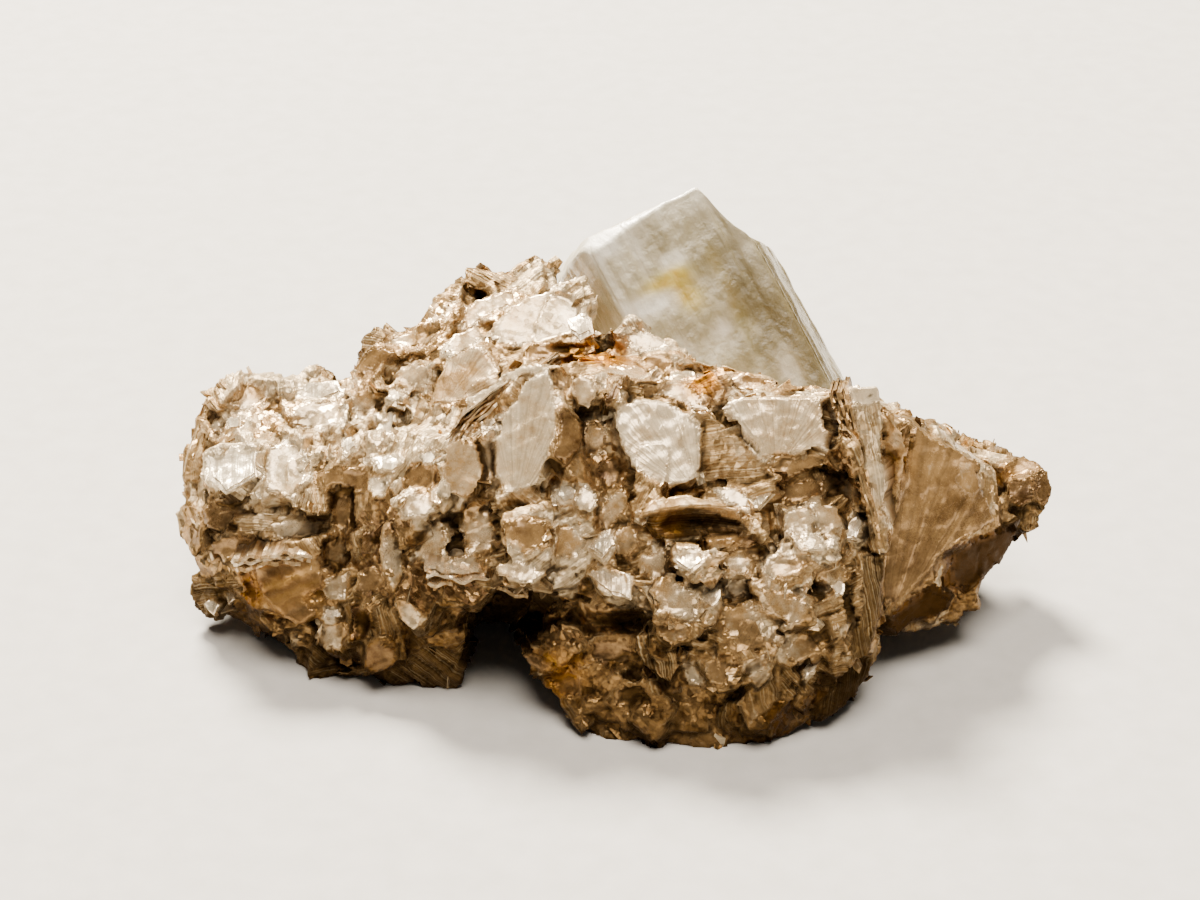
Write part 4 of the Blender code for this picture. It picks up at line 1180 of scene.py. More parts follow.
def edge_share(outline, guarded, across, down):
    """How near to its outline each point of a face lies: 1 at the outline, 0 in the middle."""
    outline, guarded = np.array(outline), np.array(guarded)
    share = np.ones(len(across))
    for step in EDGE_STEPS:
        share[within(guarded + (outline - guarded) * step, across, down)] = step
    return share


def cut_faces():
    """Cut the mass back to each laid face; gives the streaks, and what lies on a face."""
    rng = np.random.default_rng(41)
    lay = (mass_points * mass_across).sum(axis=1)
    on_face = np.zeros(len(mass_points), dtype=bool)
    across, down = frame_places(mass_points)
    for (outline, guarded, middle, normal), core in zip(laid, cores):
        axes, tint, hub, grain = core[2], core[4], core[6], core[7]
        ahead = (mass_points - np.array(middle)) @ np.array(normal)
        picked = np.flatnonzero((ahead > -CUT_BEHIND_MM) & (ahead < CUT_AHEAD_MM))
        picked = picked[within(outline, across[picked], down[picked])]
        share = edge_share(outline, guarded, across[picked], down[picked])
        past = np.maximum(ahead[picked] - EDGE_MM * share, 0)
        mass_points[picked] -= np.outer(past, normal)
        mass_normals[picked[past > 0]] = normal
        mass_facing[picked] = normal if grain is None else Vector(grain).normalized()
        mass_tint[picked] += (tint - mass_tint[picked]) * (1 - EDGE_TINT * share)
        on_face[picked[share <= FACE_STEP]] = True
        spin = rng.uniform(0, math.pi)
        if hub is None:
            way = axes[0] * math.cos(spin) + axes[1] * math.sin(spin)
            lay[picked] = mass_points[picked] @ way * BROAD_STREAKS
        else:
            from_hub = mass_points[picked] - hub
            lay[picked] = FAN_RADIUS_MM * np.arctan2(from_hub @ axes[0], from_hub @ axes[1])
    return lay, on_face


mass_lay, on_laid = cut_faces()
print("share of the surface on laid faces: %.2f" % on_laid.mean())

# %% [markdown]
# # Hollows and crumple
# The mass is drawn in where it stands far out of the solid, dented where deep shade lies, and
# then crumpled: small facets that tilt every way, ripples, and terraces where the sheets end.

# %% Hollows that the mass is dented by
# name: frame point, half width, half height and depth in mm
DENTS = {
    "under_brow": ((700, 524), 2.9, 0.8, 1.2),
    "under_fan": ((506, 509), 1.3, 0.5, 0.5),
    "beside_fan": ((604, 466), 1.0, 1.4, 0.5),
    "under_oval": ((456, 522), 0.6, 1.0, 0.4),
    "under_lip": ((530, 620), 3.8, 1.2, 2.0),
    "under_lip_right": ((632, 622), 2.0, 0.6, 1.0),
    "crown_crevice": ((712, 360), 1.6, 0.5, 1.4),
    "crown_hollow": ((566, 348), 0.9, 0.3, 0.6),
    "right_pit": ((812, 588), 1.1, 0.4, 0.5),
    "foot_box": ((358, 624), 0.6, 0.8, 0.5),
}
DENT_REACH = 2.6         # mm, how far before or behind its middle a dent still acts
DENT_ROUND = 1.2         # how soon a dent fades towards its edge
PROUD_MM = 0.25          # the mass may stand this far out of the solid before it is drawn in
FACE_PROUD_MM = 0.8      # and the laid faces this far
PROUD_KEPT = 0.12        # share that stays of what stands out further


def drawn_in(points):
    """Draw in what stands far out, so that the outline stays the solid's own."""
    moved = points.copy()
    limits = np.where(on_laid, FACE_PROUD_MM, PROUD_MM).tolist()
    for index, (point, limit) in enumerate(zip(points.tolist(), limits)):
        near, facing, face, gap = lump_tree.find_nearest(point)
        out = Vector(point) - near
        if gap > limit and out.dot(facing) > 0:
            moved[index] = near + out * ((limit + (gap - limit) * PROUD_KEPT) / gap)
    return moved


def dented(points):
    moved = points.copy()
    ahead = np.array(view_ahead)
    for (across, down), half_width, half_height, depth in DENTS.values():
        offset = points - np.array(seen_spot(across, down)[0])
        x = offset @ np.array(view_right) / half_width
        y = offset @ np.array(view_up) / half_height
        near = np.clip(1 - (offset @ ahead / DENT_REACH) ** 2, 0, 1)
        share = np.clip(1 - x ** 2 - y ** 2, 0, 1) ** DENT_ROUND * near
        moved += ahead * (share * depth)[:, None]
    return moved


mass_points = dented(drawn_in(mass_points))
print("dents:", len(DENTS))


# %% Facets and ripples
def facets(points, size):
    """Heights that tilt each cell of about this size its own way, as broken mica does."""
    heights = np.empty(len(points))
    for index, point in enumerate((points / size).tolist()):
        gaps, spots = mathutils.noise.voronoi(point)
        slope = mathutils.noise.cell_vector(spots[0] * 7.3) - Vector((0.5, 0.5, 0.5))
        heights[index] = (Vector(point) - spots[0]).dot(slope)
    return heights


def ripple(points, size):
    """Smooth noise about this wide."""
    return np.array([mathutils.noise.noise(point) for point in (points / size).tolist()])


print("a facet's height, 0.4 mm out: %.3f" % facets(np.full((1, 3), 0.4), 1.0)[0])

# %% Crumple
FACET_MM = 1.9
FACET_DEPTH = 0.55       # mm of height per unit of slope
RIPPLE_MM = 0.55
RIPPLE_DEPTH = 0.035
TERRACE_MM = 0.62
TERRACE_DEPTH = 0.11
TERRACE_RISER = (0.55, 0.3)      # where in each terrace its riser starts, and over how much
TERRACE_WAVER = (1.6, 0.25)      # mm, how long and how deep
RIM_SHOWS = (0.92, 0.35)         # cosine to the stack below which rims show, and over how much
LOWEST_MM = 0.02
# where the mica is smooth: frame point, radius in mm, share of the crumpling that stays
CALM_SPOTS = (((938, 510), 4.6, 0.25), ((1022, 488), 2.4, 0.45), ((906, 640), 2.6, 0.5),
              ((288, 590), 2.0, 0.4), ((396, 345), 2.4, 0.6), ((460, 312), 2.6, 0.6),
              ((530, 292), 2.4, 0.6))
FACE_KEPT = 0.35         # share of the crumpling that the laid faces keep


def calm_share(points):
    """How much of the crumpling each point keeps."""
    share = np.where(on_laid, FACE_KEPT, 1.0)
    for place, radius, kept in CALM_SPOTS:
        gap = np.linalg.norm(points - np.array(seen_spot(*place)[0]), axis=1)
        share = np.minimum(share, kept + (1 - kept) * np.clip(gap / radius * 2 - 1, 0, 1))
    return share


def crumpled():
    facing_share = np.abs((mass_normals * mass_facing).sum(axis=1))
    rim = np.clip((RIM_SHOWS[0] - facing_share) / RIM_SHOWS[1], 0, 1)
    stack = (mass_points * mass_facing).sum(axis=1)
    stack_wavy = stack + TERRACE_WAVER[1] * ripple(mass_points, TERRACE_WAVER[0])
    saw = np.abs((stack_wavy / TERRACE_MM) % 1.0 - 0.5) * 2
    push = facets(mass_points, FACET_MM) * FACET_DEPTH * (0.5 + 0.5 * rim)
    push += ripple(mass_points, RIPPLE_MM) * RIPPLE_DEPTH
    push -= rim * TERRACE_DEPTH * np.clip((saw - TERRACE_RISER[0]) / TERRACE_RISER[1], 0, 1)
    moved = mass_points + mass_normals * (push * calm_share(mass_points))[:, None]
    moved[:, 2] = np.maximum(moved[:, 2], LOWEST_MM)
    return moved, rim, stack


mass_points, mass_rim, mass_stack = crumpled()
mass_tree = BVHTree.FromPolygons(mass_points.tolist(), mass_squares.tolist())
print("crumpled; %.0f%% of the mass is rims" % (100 * (mass_rim > 0.5).mean()))

# %% [markdown]
# # Painted shade
# Painted shade darkens the crevices, the undersides and the foot, where shadow falls.  A crevice
# lies below its smoothed surroundings.  For the wider hollows, sample points look for the sky along
# a few rays, and each point of the mass takes the nearest sample's shade.

# %% Painted shade in the crevices
SMOOTHING = 0.6          # share of the way to its neighbours' mean that a point moves each round
CREVICES = ((14, 0.16), (60, 0.55))  # rounds of smoothing, and the depth in mm that is darkest
CREVICE_FROM = 0.12      # share of that depth that stays unshaded
CREVICE_SHARE = 0.75     # painted shade that each kind of crevice adds


def smoothed(points, rounds):
    """Points drawn to the mean of their neighbours, round after round."""
    count = len(points)
    first, second = mass_edges.T
    degree = np.bincount(mass_edges.ravel(), minlength=count)
    for turn in range(rounds):
        total = np.stack([np.bincount(first, points[second, axis], count)
                          + np.bincount(second, points[first, axis], count)
                          for axis in range(3)], axis=1)
        points = points * (1 - SMOOTHING) + total / degree[:, None] * SMOOTHING
    return points


def crevice_shade():
    """Painted shade: how deep each point lies below its smoothed surroundings, from 0 to 1."""
    shade = np.zeros(len(mass_points))
    level = mass_points
    for rounds, depth in CREVICES:
        level = smoothed(level, rounds)
        below = ((level - mass_points) * mass_normals).sum(axis=1)
        shade += np.clip(below / depth - CREVICE_FROM, 0, 1) * CREVICE_SHARE
    return shade


mass_crevice_shade = crevice_shade()
print("crevices: %.2f of the mass" % (mass_crevice_shade > 0.5).mean())

# %% Painted shade where the sky doesn't reach
SKY_SAMPLES = 26000      # points of the mass that look for the sky
SKY_RAYS = 26            # directions each one tries
SKY_REACH = 9.0          # mm beyond which nothing hides it
SKY_START = 0.35         # mm from the mass where a ray starts
SKY_ENOUGH = 0.46        # share of sky that leaves a point unshaded
SKY_SHADE_SHARE = 0.85       # how dark the most shut-in hollow is painted
UNDERSIDE_FROM = 0.1     # how far down a point has to face
UNDERSIDE_SHADE = 0.65   # how dark the painted shade on what faces down is
FOOT_SHADE = 0.72         # how dark the painted shade at the foot is


def sky_seen(points, normals):
    """The share of what each point faces that is open sky."""
    turns = np.arange(SKY_RAYS) + 0.5
    height = 1 - 2 * turns / SKY_RAYS
    around = turns * math.pi * (3 - math.sqrt(5))
    level = np.sqrt(1 - height ** 2)
    ways = np.stack([np.cos(around) * level, np.sin(around) * level, height], axis=1)
    seen = np.zeros(len(points))
    for index, (point, normal) in enumerate(zip(points, normals)):
        start = Vector(point + normal * SKY_START)
        weights = np.clip(ways @ normal, 0, 1)
        for way, weight in zip(ways, weights):
            if weight > 0.1 and way[2] > 0:
                if mass_tree.ray_cast(start, Vector(way), SKY_REACH)[0] is None:
                    seen[index] += weight
        seen[index] /= weights.sum()
    return seen


def painted_sky_shade():
    """How much painted shade each point gets: dark where little sky is seen."""
    rng = np.random.default_rng(31)
    picked = rng.choice(len(mass_points), SKY_SAMPLES, replace=False)
    seen = sky_seen(mass_points[picked], mass_normals[picked])
    lookup = KDTree(SKY_SAMPLES)
    for index, point in enumerate(mass_points[picked].tolist()):
        lookup.insert(point, index)
    lookup.balance()
    nearest = [lookup.find(point)[1] for point in mass_points.tolist()]
    return np.clip((SKY_ENOUGH - seen[nearest]) / SKY_ENOUGH, 0, 1)


# painted shade: crevices, hollows that see little sky, tints above one, undersides and the foot are
# darkened
mass_shade = mass_crevice_shade + SKY_SHADE_SHARE * painted_sky_shade() + np.clip(mass_tint - 1, 0, 1)
mass_shade += UNDERSIDE_SHADE * np.clip(-mass_normals[:, 2] - UNDERSIDE_FROM, 0, 1)
mass_shade += FOOT_SHADE * np.clip(1 - mass_points[:, 2] / LOW_MM, 0, 1)
mass_shade = np.clip(mass_shade, 0, 1)
print("shade: mean %.2f" % mass_shade.mean())

# %% [markdown]
# # The mass as pieces
# So many squares are heavy in one mesh, so it is parted across the specimen.  The pieces meet at
# the same points, so no seam shows.

# %% The mass in three pieces
# name: from and to, across the specimen in mm
MASS_PARTS = {"mica_mass_left": (-99, -7.0), "mica_mass_middle": (-7.0, 5.0),
              "mica_mass_right": (5.0, 99)}


def part_mass(name, low, high):
    middle = mass_points[mass_squares, 0].mean(axis=1)
    squares = mass_squares[(middle >= low) & (middle < high)]
    kept, places = np.unique(squares, return_inverse=True)
    values = {"tint": mass_tint, "rim": mass_rim, "rust": rust_at(mass_points),
              "shade": mass_shade, "sheet": mass_stack, "lay": mass_lay,
              "clean": on_laid * (1 - mass_rim)}
    made = mica_piece(name, mass_points[kept], places.reshape(-1, 4).tolist(), muscovite_mass,
                      {}, {key: value[kept] for key, value in values.items()})
    made.data.shade_smooth()
    return made


for name, (low, high) in MASS_PARTS.items():
    part_mass(name, low, high)

# %% [markdown]
# # Sheaves seen edge on
# In places the sheets stand on edge and show only their rims: a fan that closes downwards on the
# right, layers left of the pale fan, a golden ledge and a lip.  Each sheet is a thin strip.  Its
# front edge follows a line between two given lines, and it runs back into the mass, so the gaps
# between sheets are real and fall into shade; the back of each strip is darkened as well, as
# painted shade.

# %% Sheaves
# name: sheets, thickness mm, depth mm, way back, waver mm, tint, first line, last line
BACK = (0.15, 0.95, -0.25)
SHEAVES = {
    "fan_edge": (7, 0.10, 2.4, BACK, 0.08, 0.62,
                 ((829, 394), (838, 420), (858, 472), (881, 550)),
                 ((845, 389), (855, 428), (868, 482), (883, 550))),
    "arch_left_layers": (5, 0.10, 1.6, (0.3, 0.9, -0.2), 0.07, 0.20,
                         ((446, 442), (460, 418), (492, 392), (548, 361)),
                         ((456, 448), (470, 428), (500, 402), (552, 375))),
    "golden_ledge": (3, 0.14, 1.4, (0.1, 0.95, 0.0), 0.08, 0.34,
                     ((230, 562), (252, 556), (282, 553), (312, 556)),
                     ((236, 572), (256, 566), (284, 563), (312, 566))),
    "lip_layers": (4, 0.14, 2.0, (0.0, 0.95, 0.1), 0.12, 0.26,
                   ((424, 566), (456, 572), (496, 570), (526, 584)),
                   ((428, 582), (458, 586), (492, 583), (528, 600))),
}
SHEAF_POINTS = 26


def sheaf_front(line, spot, rng, waver):
    """Points in mm along a frame line, laid on the plane that faces the viewer at a spot."""
    line = np.array(line, dtype=float)
    run = np.linspace(0, len(line) - 1, SHEAF_POINTS)
    right = np.interp(run, range(len(line)), line[:, 0])
    down = np.interp(run, range(len(line)), line[:, 1])
    points = np.array([on_plane(x, y, spot, -view_ahead) for x, y in zip(right, down)])
    bend = rng.uniform(0, 6.3, 3)
    share = np.linspace(0, 1, SHEAF_POINTS)
    wave = sum(np.sin(share * turns + start) for turns, start in zip((9, 17, 31), bend)) / 2
    return points + np.array(view_up) * (wave * waver)[:, None]


def add_sheet(heap, rng, front, thick, depth, back, tint):
    """One thin closed strip with a ragged front edge."""
    along = np.gradient(front, axis=0)
    aside = np.cross(along, np.array(view_ahead))
    aside /= np.linalg.norm(aside, axis=1)[:, None]
    ragged = np.array(view_ahead) * rng.normal(0, 0.10, (len(front), 1))
    front = front + ragged
    rear = front + np.array(back) * depth
    half = aside * thick / 2
    points = np.stack([front - half, front + half, rear + half, rear - half], 1).reshape(-1, 3)
    faces = []
    rims = []
    for step in range(len(front) - 1):
        low = 4 * step
        for side in range(4):
            nxt = (side + 1) % 4
            faces.append((low + side, low + nxt, low + 4 + nxt, low + 4 + side))
            rims.append(0.7 if side == 0 else 0.1)
    faces += [(3, 2, 1, 0), tuple(range(len(points) - 4, len(points)))]
    rims += [0.7, 0.7]
    axes = (along.mean(axis=0), np.array(back), aside.mean(axis=0))
    # painted shade: the rear corners of each strip are darkened
    heap.add(points, faces, [tint] * len(faces), rims, rust_at(points[:1]).tolist() * len(faces),
             axes, np.tile((0.0, 0.0, 0.9, 0.9), len(front)))


def make_sheaves():
    rng = np.random.default_rng(17)
    heap = Heap()
    for count, thick, depth, back, waver, tint, first, last in SHEAVES.values():
        first, last = np.array(first, dtype=float), np.array(last, dtype=float)
        spots = [seen_spot(*point)[0] for point in ((first + last) / 2)]
        spot = min(spots, key=lambda point: (point - view_eye).dot(view_ahead))
        for sheet in range(count):
            share = (sheet + rng.uniform(-0.25, 0.25)) / max(1, count - 1)
            line = first + (last - first) * share
            place = spot - view_ahead * (0.25 - rng.uniform(0, 0.45))
            front = sheaf_front(line, place, rng, waver)
            add_sheet(heap, rng, front, thick * rng.uniform(0.6, 1.4), depth, back,
                      float(np.clip(tint + rng.normal(0, 0.14), 0, 1)))
    return heap.build("mica_sheaves", muscovite_faces)


make_sheaves()

# %% [markdown]
# # Crisp sheets and flakes
# On the fused mass lie thinner books with crisp rims, and single flakes.  Each follows the sheets
# that it lies on, so it reads as one more layer of them, and only a few stand up.

# %% Scatter
STREWN_PROUD_MM = 0.25   # no corner of a strewn book stands further out of the solid
CALM_ENOUGH = 0.8        # nothing is strewn where less of the crumpling than this stays
STREWN_GAPS = (0.45, 0.15)   # mm that a strewn book keeps from the prism and the floor
FLAKE_GAPS = (0.3, 0.06)     # and a flake
STREWN_SHADE = 0.5       # no strewn book lies in darker shade
STREWN_SINK = (0.36, 0.1)    # shares of its width, on a slope, and thickness, below the mass
mass_calm = calm_share(mass_points)
print("bare share of the mass: %.2f" % (mass_calm < CALM_ENOUGH).mean())


def strew(name, rng, count, sizes, thick_range, sheets, sides, spread, material):
    """Strew thin books over the mass: sizes in mm, spread in degrees from the sheets below."""
    heap = Heap()
    for index in rng.integers(0, len(mass_points), count):
        point, skin, below = mass_points[index], mass_normals[index], mass_facing[index]
        size = sizes[0] + (sizes[1] - sizes[0]) * rng.random() ** 1.7
        if outside_prism(point) < STREWN_GAPS[0] or point[2] < STREWN_GAPS[1]:
            continue
        if mass_shade[index] > STREWN_SHADE or mass_calm[index] < CALM_ENOUGH:
            continue
        facing = tilted(rng, below, abs(rng.normal(0, spread)))
        facing = facing if facing @ skin > 0 else -facing
        slope = math.sqrt(max(0.0, 1 - float(facing @ skin) ** 2))
        axes = plane_axes(facing, rng.uniform(0, 360))
        outline = rough_outline(rng, size, int(rng.choice(sides)), rng.uniform(0.85, 1.35))
        thick = rng.uniform(*thick_range) * (0.5 + 0.5 * size / sizes[1])
        centre = point - skin * (size * STREWN_SINK[0] * slope + thick * STREWN_SINK[1])
        tint = float(np.clip(mass_tint[index] + rng.normal(0, 0.10), 0.0, 1.0))
        corners = centre + outline[:, :1] * axes[0] + outline[:, 1:] * axes[1]
        if stands_out(corners, STREWN_PROUD_MM) or hides_face(corners):
            continue
        add_book(heap, rng, centre, axes, outline, thick, int(rng.choice(sheets)), tint,
                 float(rust_at(point)[0]), ragged=0.05, groove=0.04,
                 steps=int(rng.integers(0, 3)), curl=rng.normal(0, 0.06),
                 sink=(point, skin, mass_shade[index] * 0.8))
    return heap.build(name, material)


strew("mica_books", np.random.default_rng(22), 240, (1.3, 3.0), (0.35, 0.8), (4, 5, 6),
      (4, 5, 6), 8, muscovite_faces)
strew("mica_plates", np.random.default_rng(23), 1000, (0.7, 1.9), (0.12, 0.4), (3, 4),
      (4, 5, 6), 10, muscovite_mass)


# %% Loose flakes
def strew_flakes(name, rng, count, sizes, thick, material):
    """Single thin flakes, closed, four to six sided."""
    heap = Heap()
    for index in rng.integers(0, len(mass_points), count):
        point, skin = mass_points[index], mass_normals[index]
        size = sizes[0] + (sizes[1] - sizes[0]) * rng.random() ** 2
        if outside_prism(point) < FLAKE_GAPS[0] or point[2] < FLAKE_GAPS[1]:
            continue
        if hides_face([point]):
            continue
        if mass_calm[index] < CALM_ENOUGH:
            continue
        facing = tilted(rng, mass_facing[index], abs(rng.normal(0, 25)))
        axes = plane_axes(facing, rng.uniform(0, 360))
        across, along, up = axes
        outline = rough_outline(rng, size, int(rng.choice((4, 5, 6))), rng.uniform(0.8, 1.5), 0.25)
        flat = outline[:, :1] * across + outline[:, 1:] * along
        sides = len(outline)
        points = np.concatenate([point + flat - up * thick / 2, point + flat + up * thick / 2])
        corner = np.arange(sides)
        after = (corner + 1) % sides
        faces = [corner[::-1].tolist(), (corner + sides).tolist()]
        faces += np.stack([corner, after, sides + after, sides + corner], 1).tolist()
        tint = float(np.clip(mass_tint[index] + rng.normal(0, 0.2), 0.0, 1.0))
        heap.add(points, faces, [tint] * len(faces), [0.0, 0.0] + [1.0] * sides,
                 [float(rust_at(point)[0])] * len(faces), axes, mass_shade[index] * 0.7)
    return heap.build(name, material)


strew_flakes("mica_flakes", np.random.default_rng(24), 1500, (0.25, 0.9), 0.05, muscovite_mass)

# %% [markdown]
# # Goshenite
# The prism is beryl without colour, tinted a faint olive by what grew into it.  Clear crystal is
# see-through, so the shader transmits, bends light by beryl's index of 1.58 and absorbs a little
# on the way.  The outside is weathered: frosted, streaked along the axis, and clouded white where
# healed cracks meet it.  Clouds lower the transmission and raise the roughness, so that the
# crystal is clear in one place and milky in the next.

# %% Material: beryl
STREAM_MM = 0.50         # width of the streaks along the prism
CLOUD_MM = 2.2
FROST_MM = 0.26
STREAM_WHITE = 0.6       # how much the streaks whiten
CLEAR_WHITE = 0.68       # taken off, so that clear places stay clear
STREAM_RELIEF = 1.6      # of the frost's
BERYL_IOR = 1.58


def beryl():
    made, tree, shader = new_material("goshenite, frosted beryl")
    place = add_node(tree, "TexCoord", output="Object")
    milk, stain, olive = [
        add_node(tree, "Attribute", {"attribute_name": value}, output="Fac")
        for value in ("milk", "stain", "olive")]
    grown = add_node(tree, "Attribute", {"attribute_name": "grown"}, output="Vector")
    cloud, frost, streams = [
        add_node(tree, "TexNoise",
                 {"Scale": 1 / (width * MM), "Detail": detail, "Roughness": 0.62}, {"Vector": way})
        for width, detail, way in ((CLOUD_MM, 3.0, place), (FROST_MM, 6.0, place),
                                   (STREAM_MM, 2.0, grown))]

    # how white: the clouds given per point, broad mottling, and streaks along the prism
    whiteness = add_node(tree, "Math", {"operation": "ADD"}, {0: cloud, 1: milk})
    whiteness = add_node(tree, "Math", {"operation": "MULTIPLY_ADD", 1: STREAM_WHITE},
                         {0: streams, 2: whiteness})
    whiteness = add_node(tree, "Math", {"operation": "SUBTRACT", 1: CLEAR_WHITE}, {0: whiteness})
    colour = add_node(tree, "ValToRGB", {}, {"Fac": whiteness},
                      stops=((0.0, "#bcaa72"), (0.34, "#d2c498"), (0.68, "#e4dabd"),
                             (1.0, "#f6f0de")))
    stained = add_node(tree, "ValToRGB", {}, {"Fac": cloud},
                       stops=((0.35, "#f8e86a"), (0.65, "#e6b92e")))
    colour = add_node(tree, "Mix", {"data_type": "RGBA"}, {0: stain, 6: colour, 7: stained})
    colour = add_node(tree, "Mix",
                      {"data_type": "RGBA", "blend_type": "MULTIPLY", 7: linear("#9c8f60")},
                      {0: olive, 6: colour})
    tree.links.new(colour, shader.inputs["Base Color"])
    clear = add_node(tree, "MapRange", {"To Min": 0.56, "To Max": 0.12}, {"Value": whiteness})
    tree.links.new(clear, shader.inputs["Transmission Weight"])
    frosted = add_node(tree, "MapRange", {"To Min": 0.12, "To Max": 0.34}, {"Value": whiteness})
    frosted = add_node(tree, "Math", {"operation": "MULTIPLY_ADD", 1: 0.40},
                       {0: frost, 2: frosted})
    tree.links.new(frosted, shader.inputs["Roughness"])
    shader.inputs["IOR"].default_value = BERYL_IOR
    relief = add_node(tree, "Math", {"operation": "MULTIPLY_ADD", 1: STREAM_RELIEF},
                      {0: streams, 2: frost})
    bump = add_node(tree, "Bump", {"Strength": 0.36, "Distance": 0.12 * MM}, {"Height": relief})
    tree.links.new(bump, shader.inputs["Normal"])
    body = add_node(tree, "VolumeAbsorption", {"Color": linear("#dccf9f"), "Density": 130.0})
    tree.links.new(body, tree.nodes["Material Output"].inputs["Volume"])
    return made


goshenite = beryl()
print("beryl bends light by", BERYL_IOR)

# %% [markdown]
# # The prism's form
# Growth leaves long low steps along a beryl prism, and its end is a flat face with worn bevels.
# Here one corner is broken off.  We build the prism as rings of points from root to top: the
# height of each ring's point comes from the lowest of the top's facets, softly blended so that
# the worn edges are round, and the sides are dented by the growth steps.

# %% The top's facets
# place and facing of each facet, in sideways, outward and long axes
TOP_FACETS = (
    ((-1.0, 2.65, -0.1), (-0.10, 0.74, 0.66)),
    ((-4.6, 0.6, -0.5), (-0.62, 0.10, 0.78)),
    ((0.4, -2.6, -0.3), (-0.10, -0.70, 0.70)),
    ((1.5, 0.0, -0.05), (0.06, -0.05, 0.99)),
)
BREAK_FRONT = ((2.7, 0.6), (3.5, -2.7), (4.3, -3.7), (7.0, -5.4))
BREAK_BACK = ((2.9, 0.6), (3.9, -2.2), (4.8, -3.4), (7.0, -5.6))
BREAK_HALF = 4.0         # the two break lines lie this far out and back from the axis
WORN = 7.0               # how sharply the facets meet, per mm


def lumpy(points, width, seed):
    """Smooth lumps between -1 and 1 from a few crossed waves."""
    rng = np.random.default_rng(seed)
    total = np.zeros(len(points))
    for wave in range(7):
        way = rng.normal(size=3)
        way *= 2 * math.pi / (width * rng.uniform(0.7, 1.6) * np.linalg.norm(way))
        total += np.sin(points @ way + rng.uniform(0, 6.3))
    return total / 4


def top_height(x, y):
    """Height of the prism's worn end over points of its section."""
    part = (y + BREAK_HALF) / (2 * BREAK_HALF)
    back = np.interp(x, *zip(*BREAK_BACK))
    heights = [back + (np.interp(x, *zip(*BREAK_FRONT)) - back) * part]
    for (px, py, pz), (nx, ny, nz) in TOP_FACETS:
        heights.append(pz - (nx * (x - px) + ny * (y - py)) / nz)
    height = -np.log(sum(np.exp(-WORN * level) for level in heights)) / WORN
    flat = np.stack([x, y, height], axis=1)
    return height + 0.12 * np.minimum(0, lumpy(flat, 1.3, 8)) + 0.04 * lumpy(flat, 0.4, 9)


print("top at the axis: %.2f mm" % top_height(np.zeros(1), np.zeros(1))[0])

# %% Section and growth steps
AROUND = 264             # points round the prism
ALONG = 84               # rings from the root to the top
CAP_RINGS = 26
STEPS_PER_SIDE = 12
STEP_DEPTH = 0.10        # mm
STEP_WIDTH = (0.02, 0.12)    # half the width of a step, as a share of the side
STEP_WALL = 0.03         # share of the side over which its edges rise
STEP_END = 0.12          # share of the length over which its ends rise
STEP_FROM_CORNER = 0.25  # mm over which a growth step fades out towards a corner
CORNER_WEAR = (0.22, 0.16)   # mm, how deep and how far from a corner
CORNER_ROUNDS = 5        # times that the way in is averaged, which rounds the corners
LUMPS = (0.05, 1.6)      # mm, depth and width of the unevenness of the sides
BUMPS = (0.02, 0.5)      # and of finer bumps


def prism_sides():
    """Points round the section, the way in from each, and the dents of each ring of points."""
    rng = np.random.default_rng(5)
    corners = np.array(hexagon(PRISM_DISTANCES))
    after = np.roll(corners, -1, axis=0)
    lengths = np.linalg.norm(after - corners, axis=1)
    shares = np.maximum(8, np.round(AROUND * lengths / lengths.sum())).astype(int)
    outline, inward, dents = [], [], []
    run = np.linspace(0, 1, ALONG)
    for side in range(6):
        along = (after[side] - corners[side]) / lengths[side]
        steps = np.arange(shares[side]) / shares[side]
        outline.append(corners[side] + (after[side] - corners[side]) * steps[:, None])
        inward.append(np.tile((-along[1], along[0]), (shares[side], 1)))
        from_corner = np.minimum(steps, 1 - steps) * lengths[side]
        dent = np.zeros((shares[side], ALONG))
        for stripe in range(STEPS_PER_SIDE):
            place = rng.random()
            width = rng.uniform(*STEP_WIDTH)
            low, high = sorted(rng.uniform(-0.3, 1.3, 2))
            across = np.clip((width - np.abs(steps - place)) / STEP_WALL, 0, 1)
            across *= np.clip(from_corner / STEP_FROM_CORNER, 0, 1)
            ends = np.clip((run - low) / STEP_END, 0, 1)
            ends *= np.clip((high - run) / STEP_END, 0, 1)
            dent = np.maximum(dent, across[:, None] * ends[None] * rng.uniform(0.2, 1.0))
        worn = CORNER_WEAR[0] * np.exp(-from_corner / CORNER_WEAR[1])
        dents.append(dent * STEP_DEPTH + worn[:, None])
    inward = np.concatenate(inward)
    for turn in range(CORNER_ROUNDS):
        inward = np.roll(inward, 1, axis=0) + inward * 2 + np.roll(inward, -1, axis=0)
        inward /= np.linalg.norm(inward, axis=1)[:, None]
    return np.concatenate(outline), inward, np.concatenate(dents)


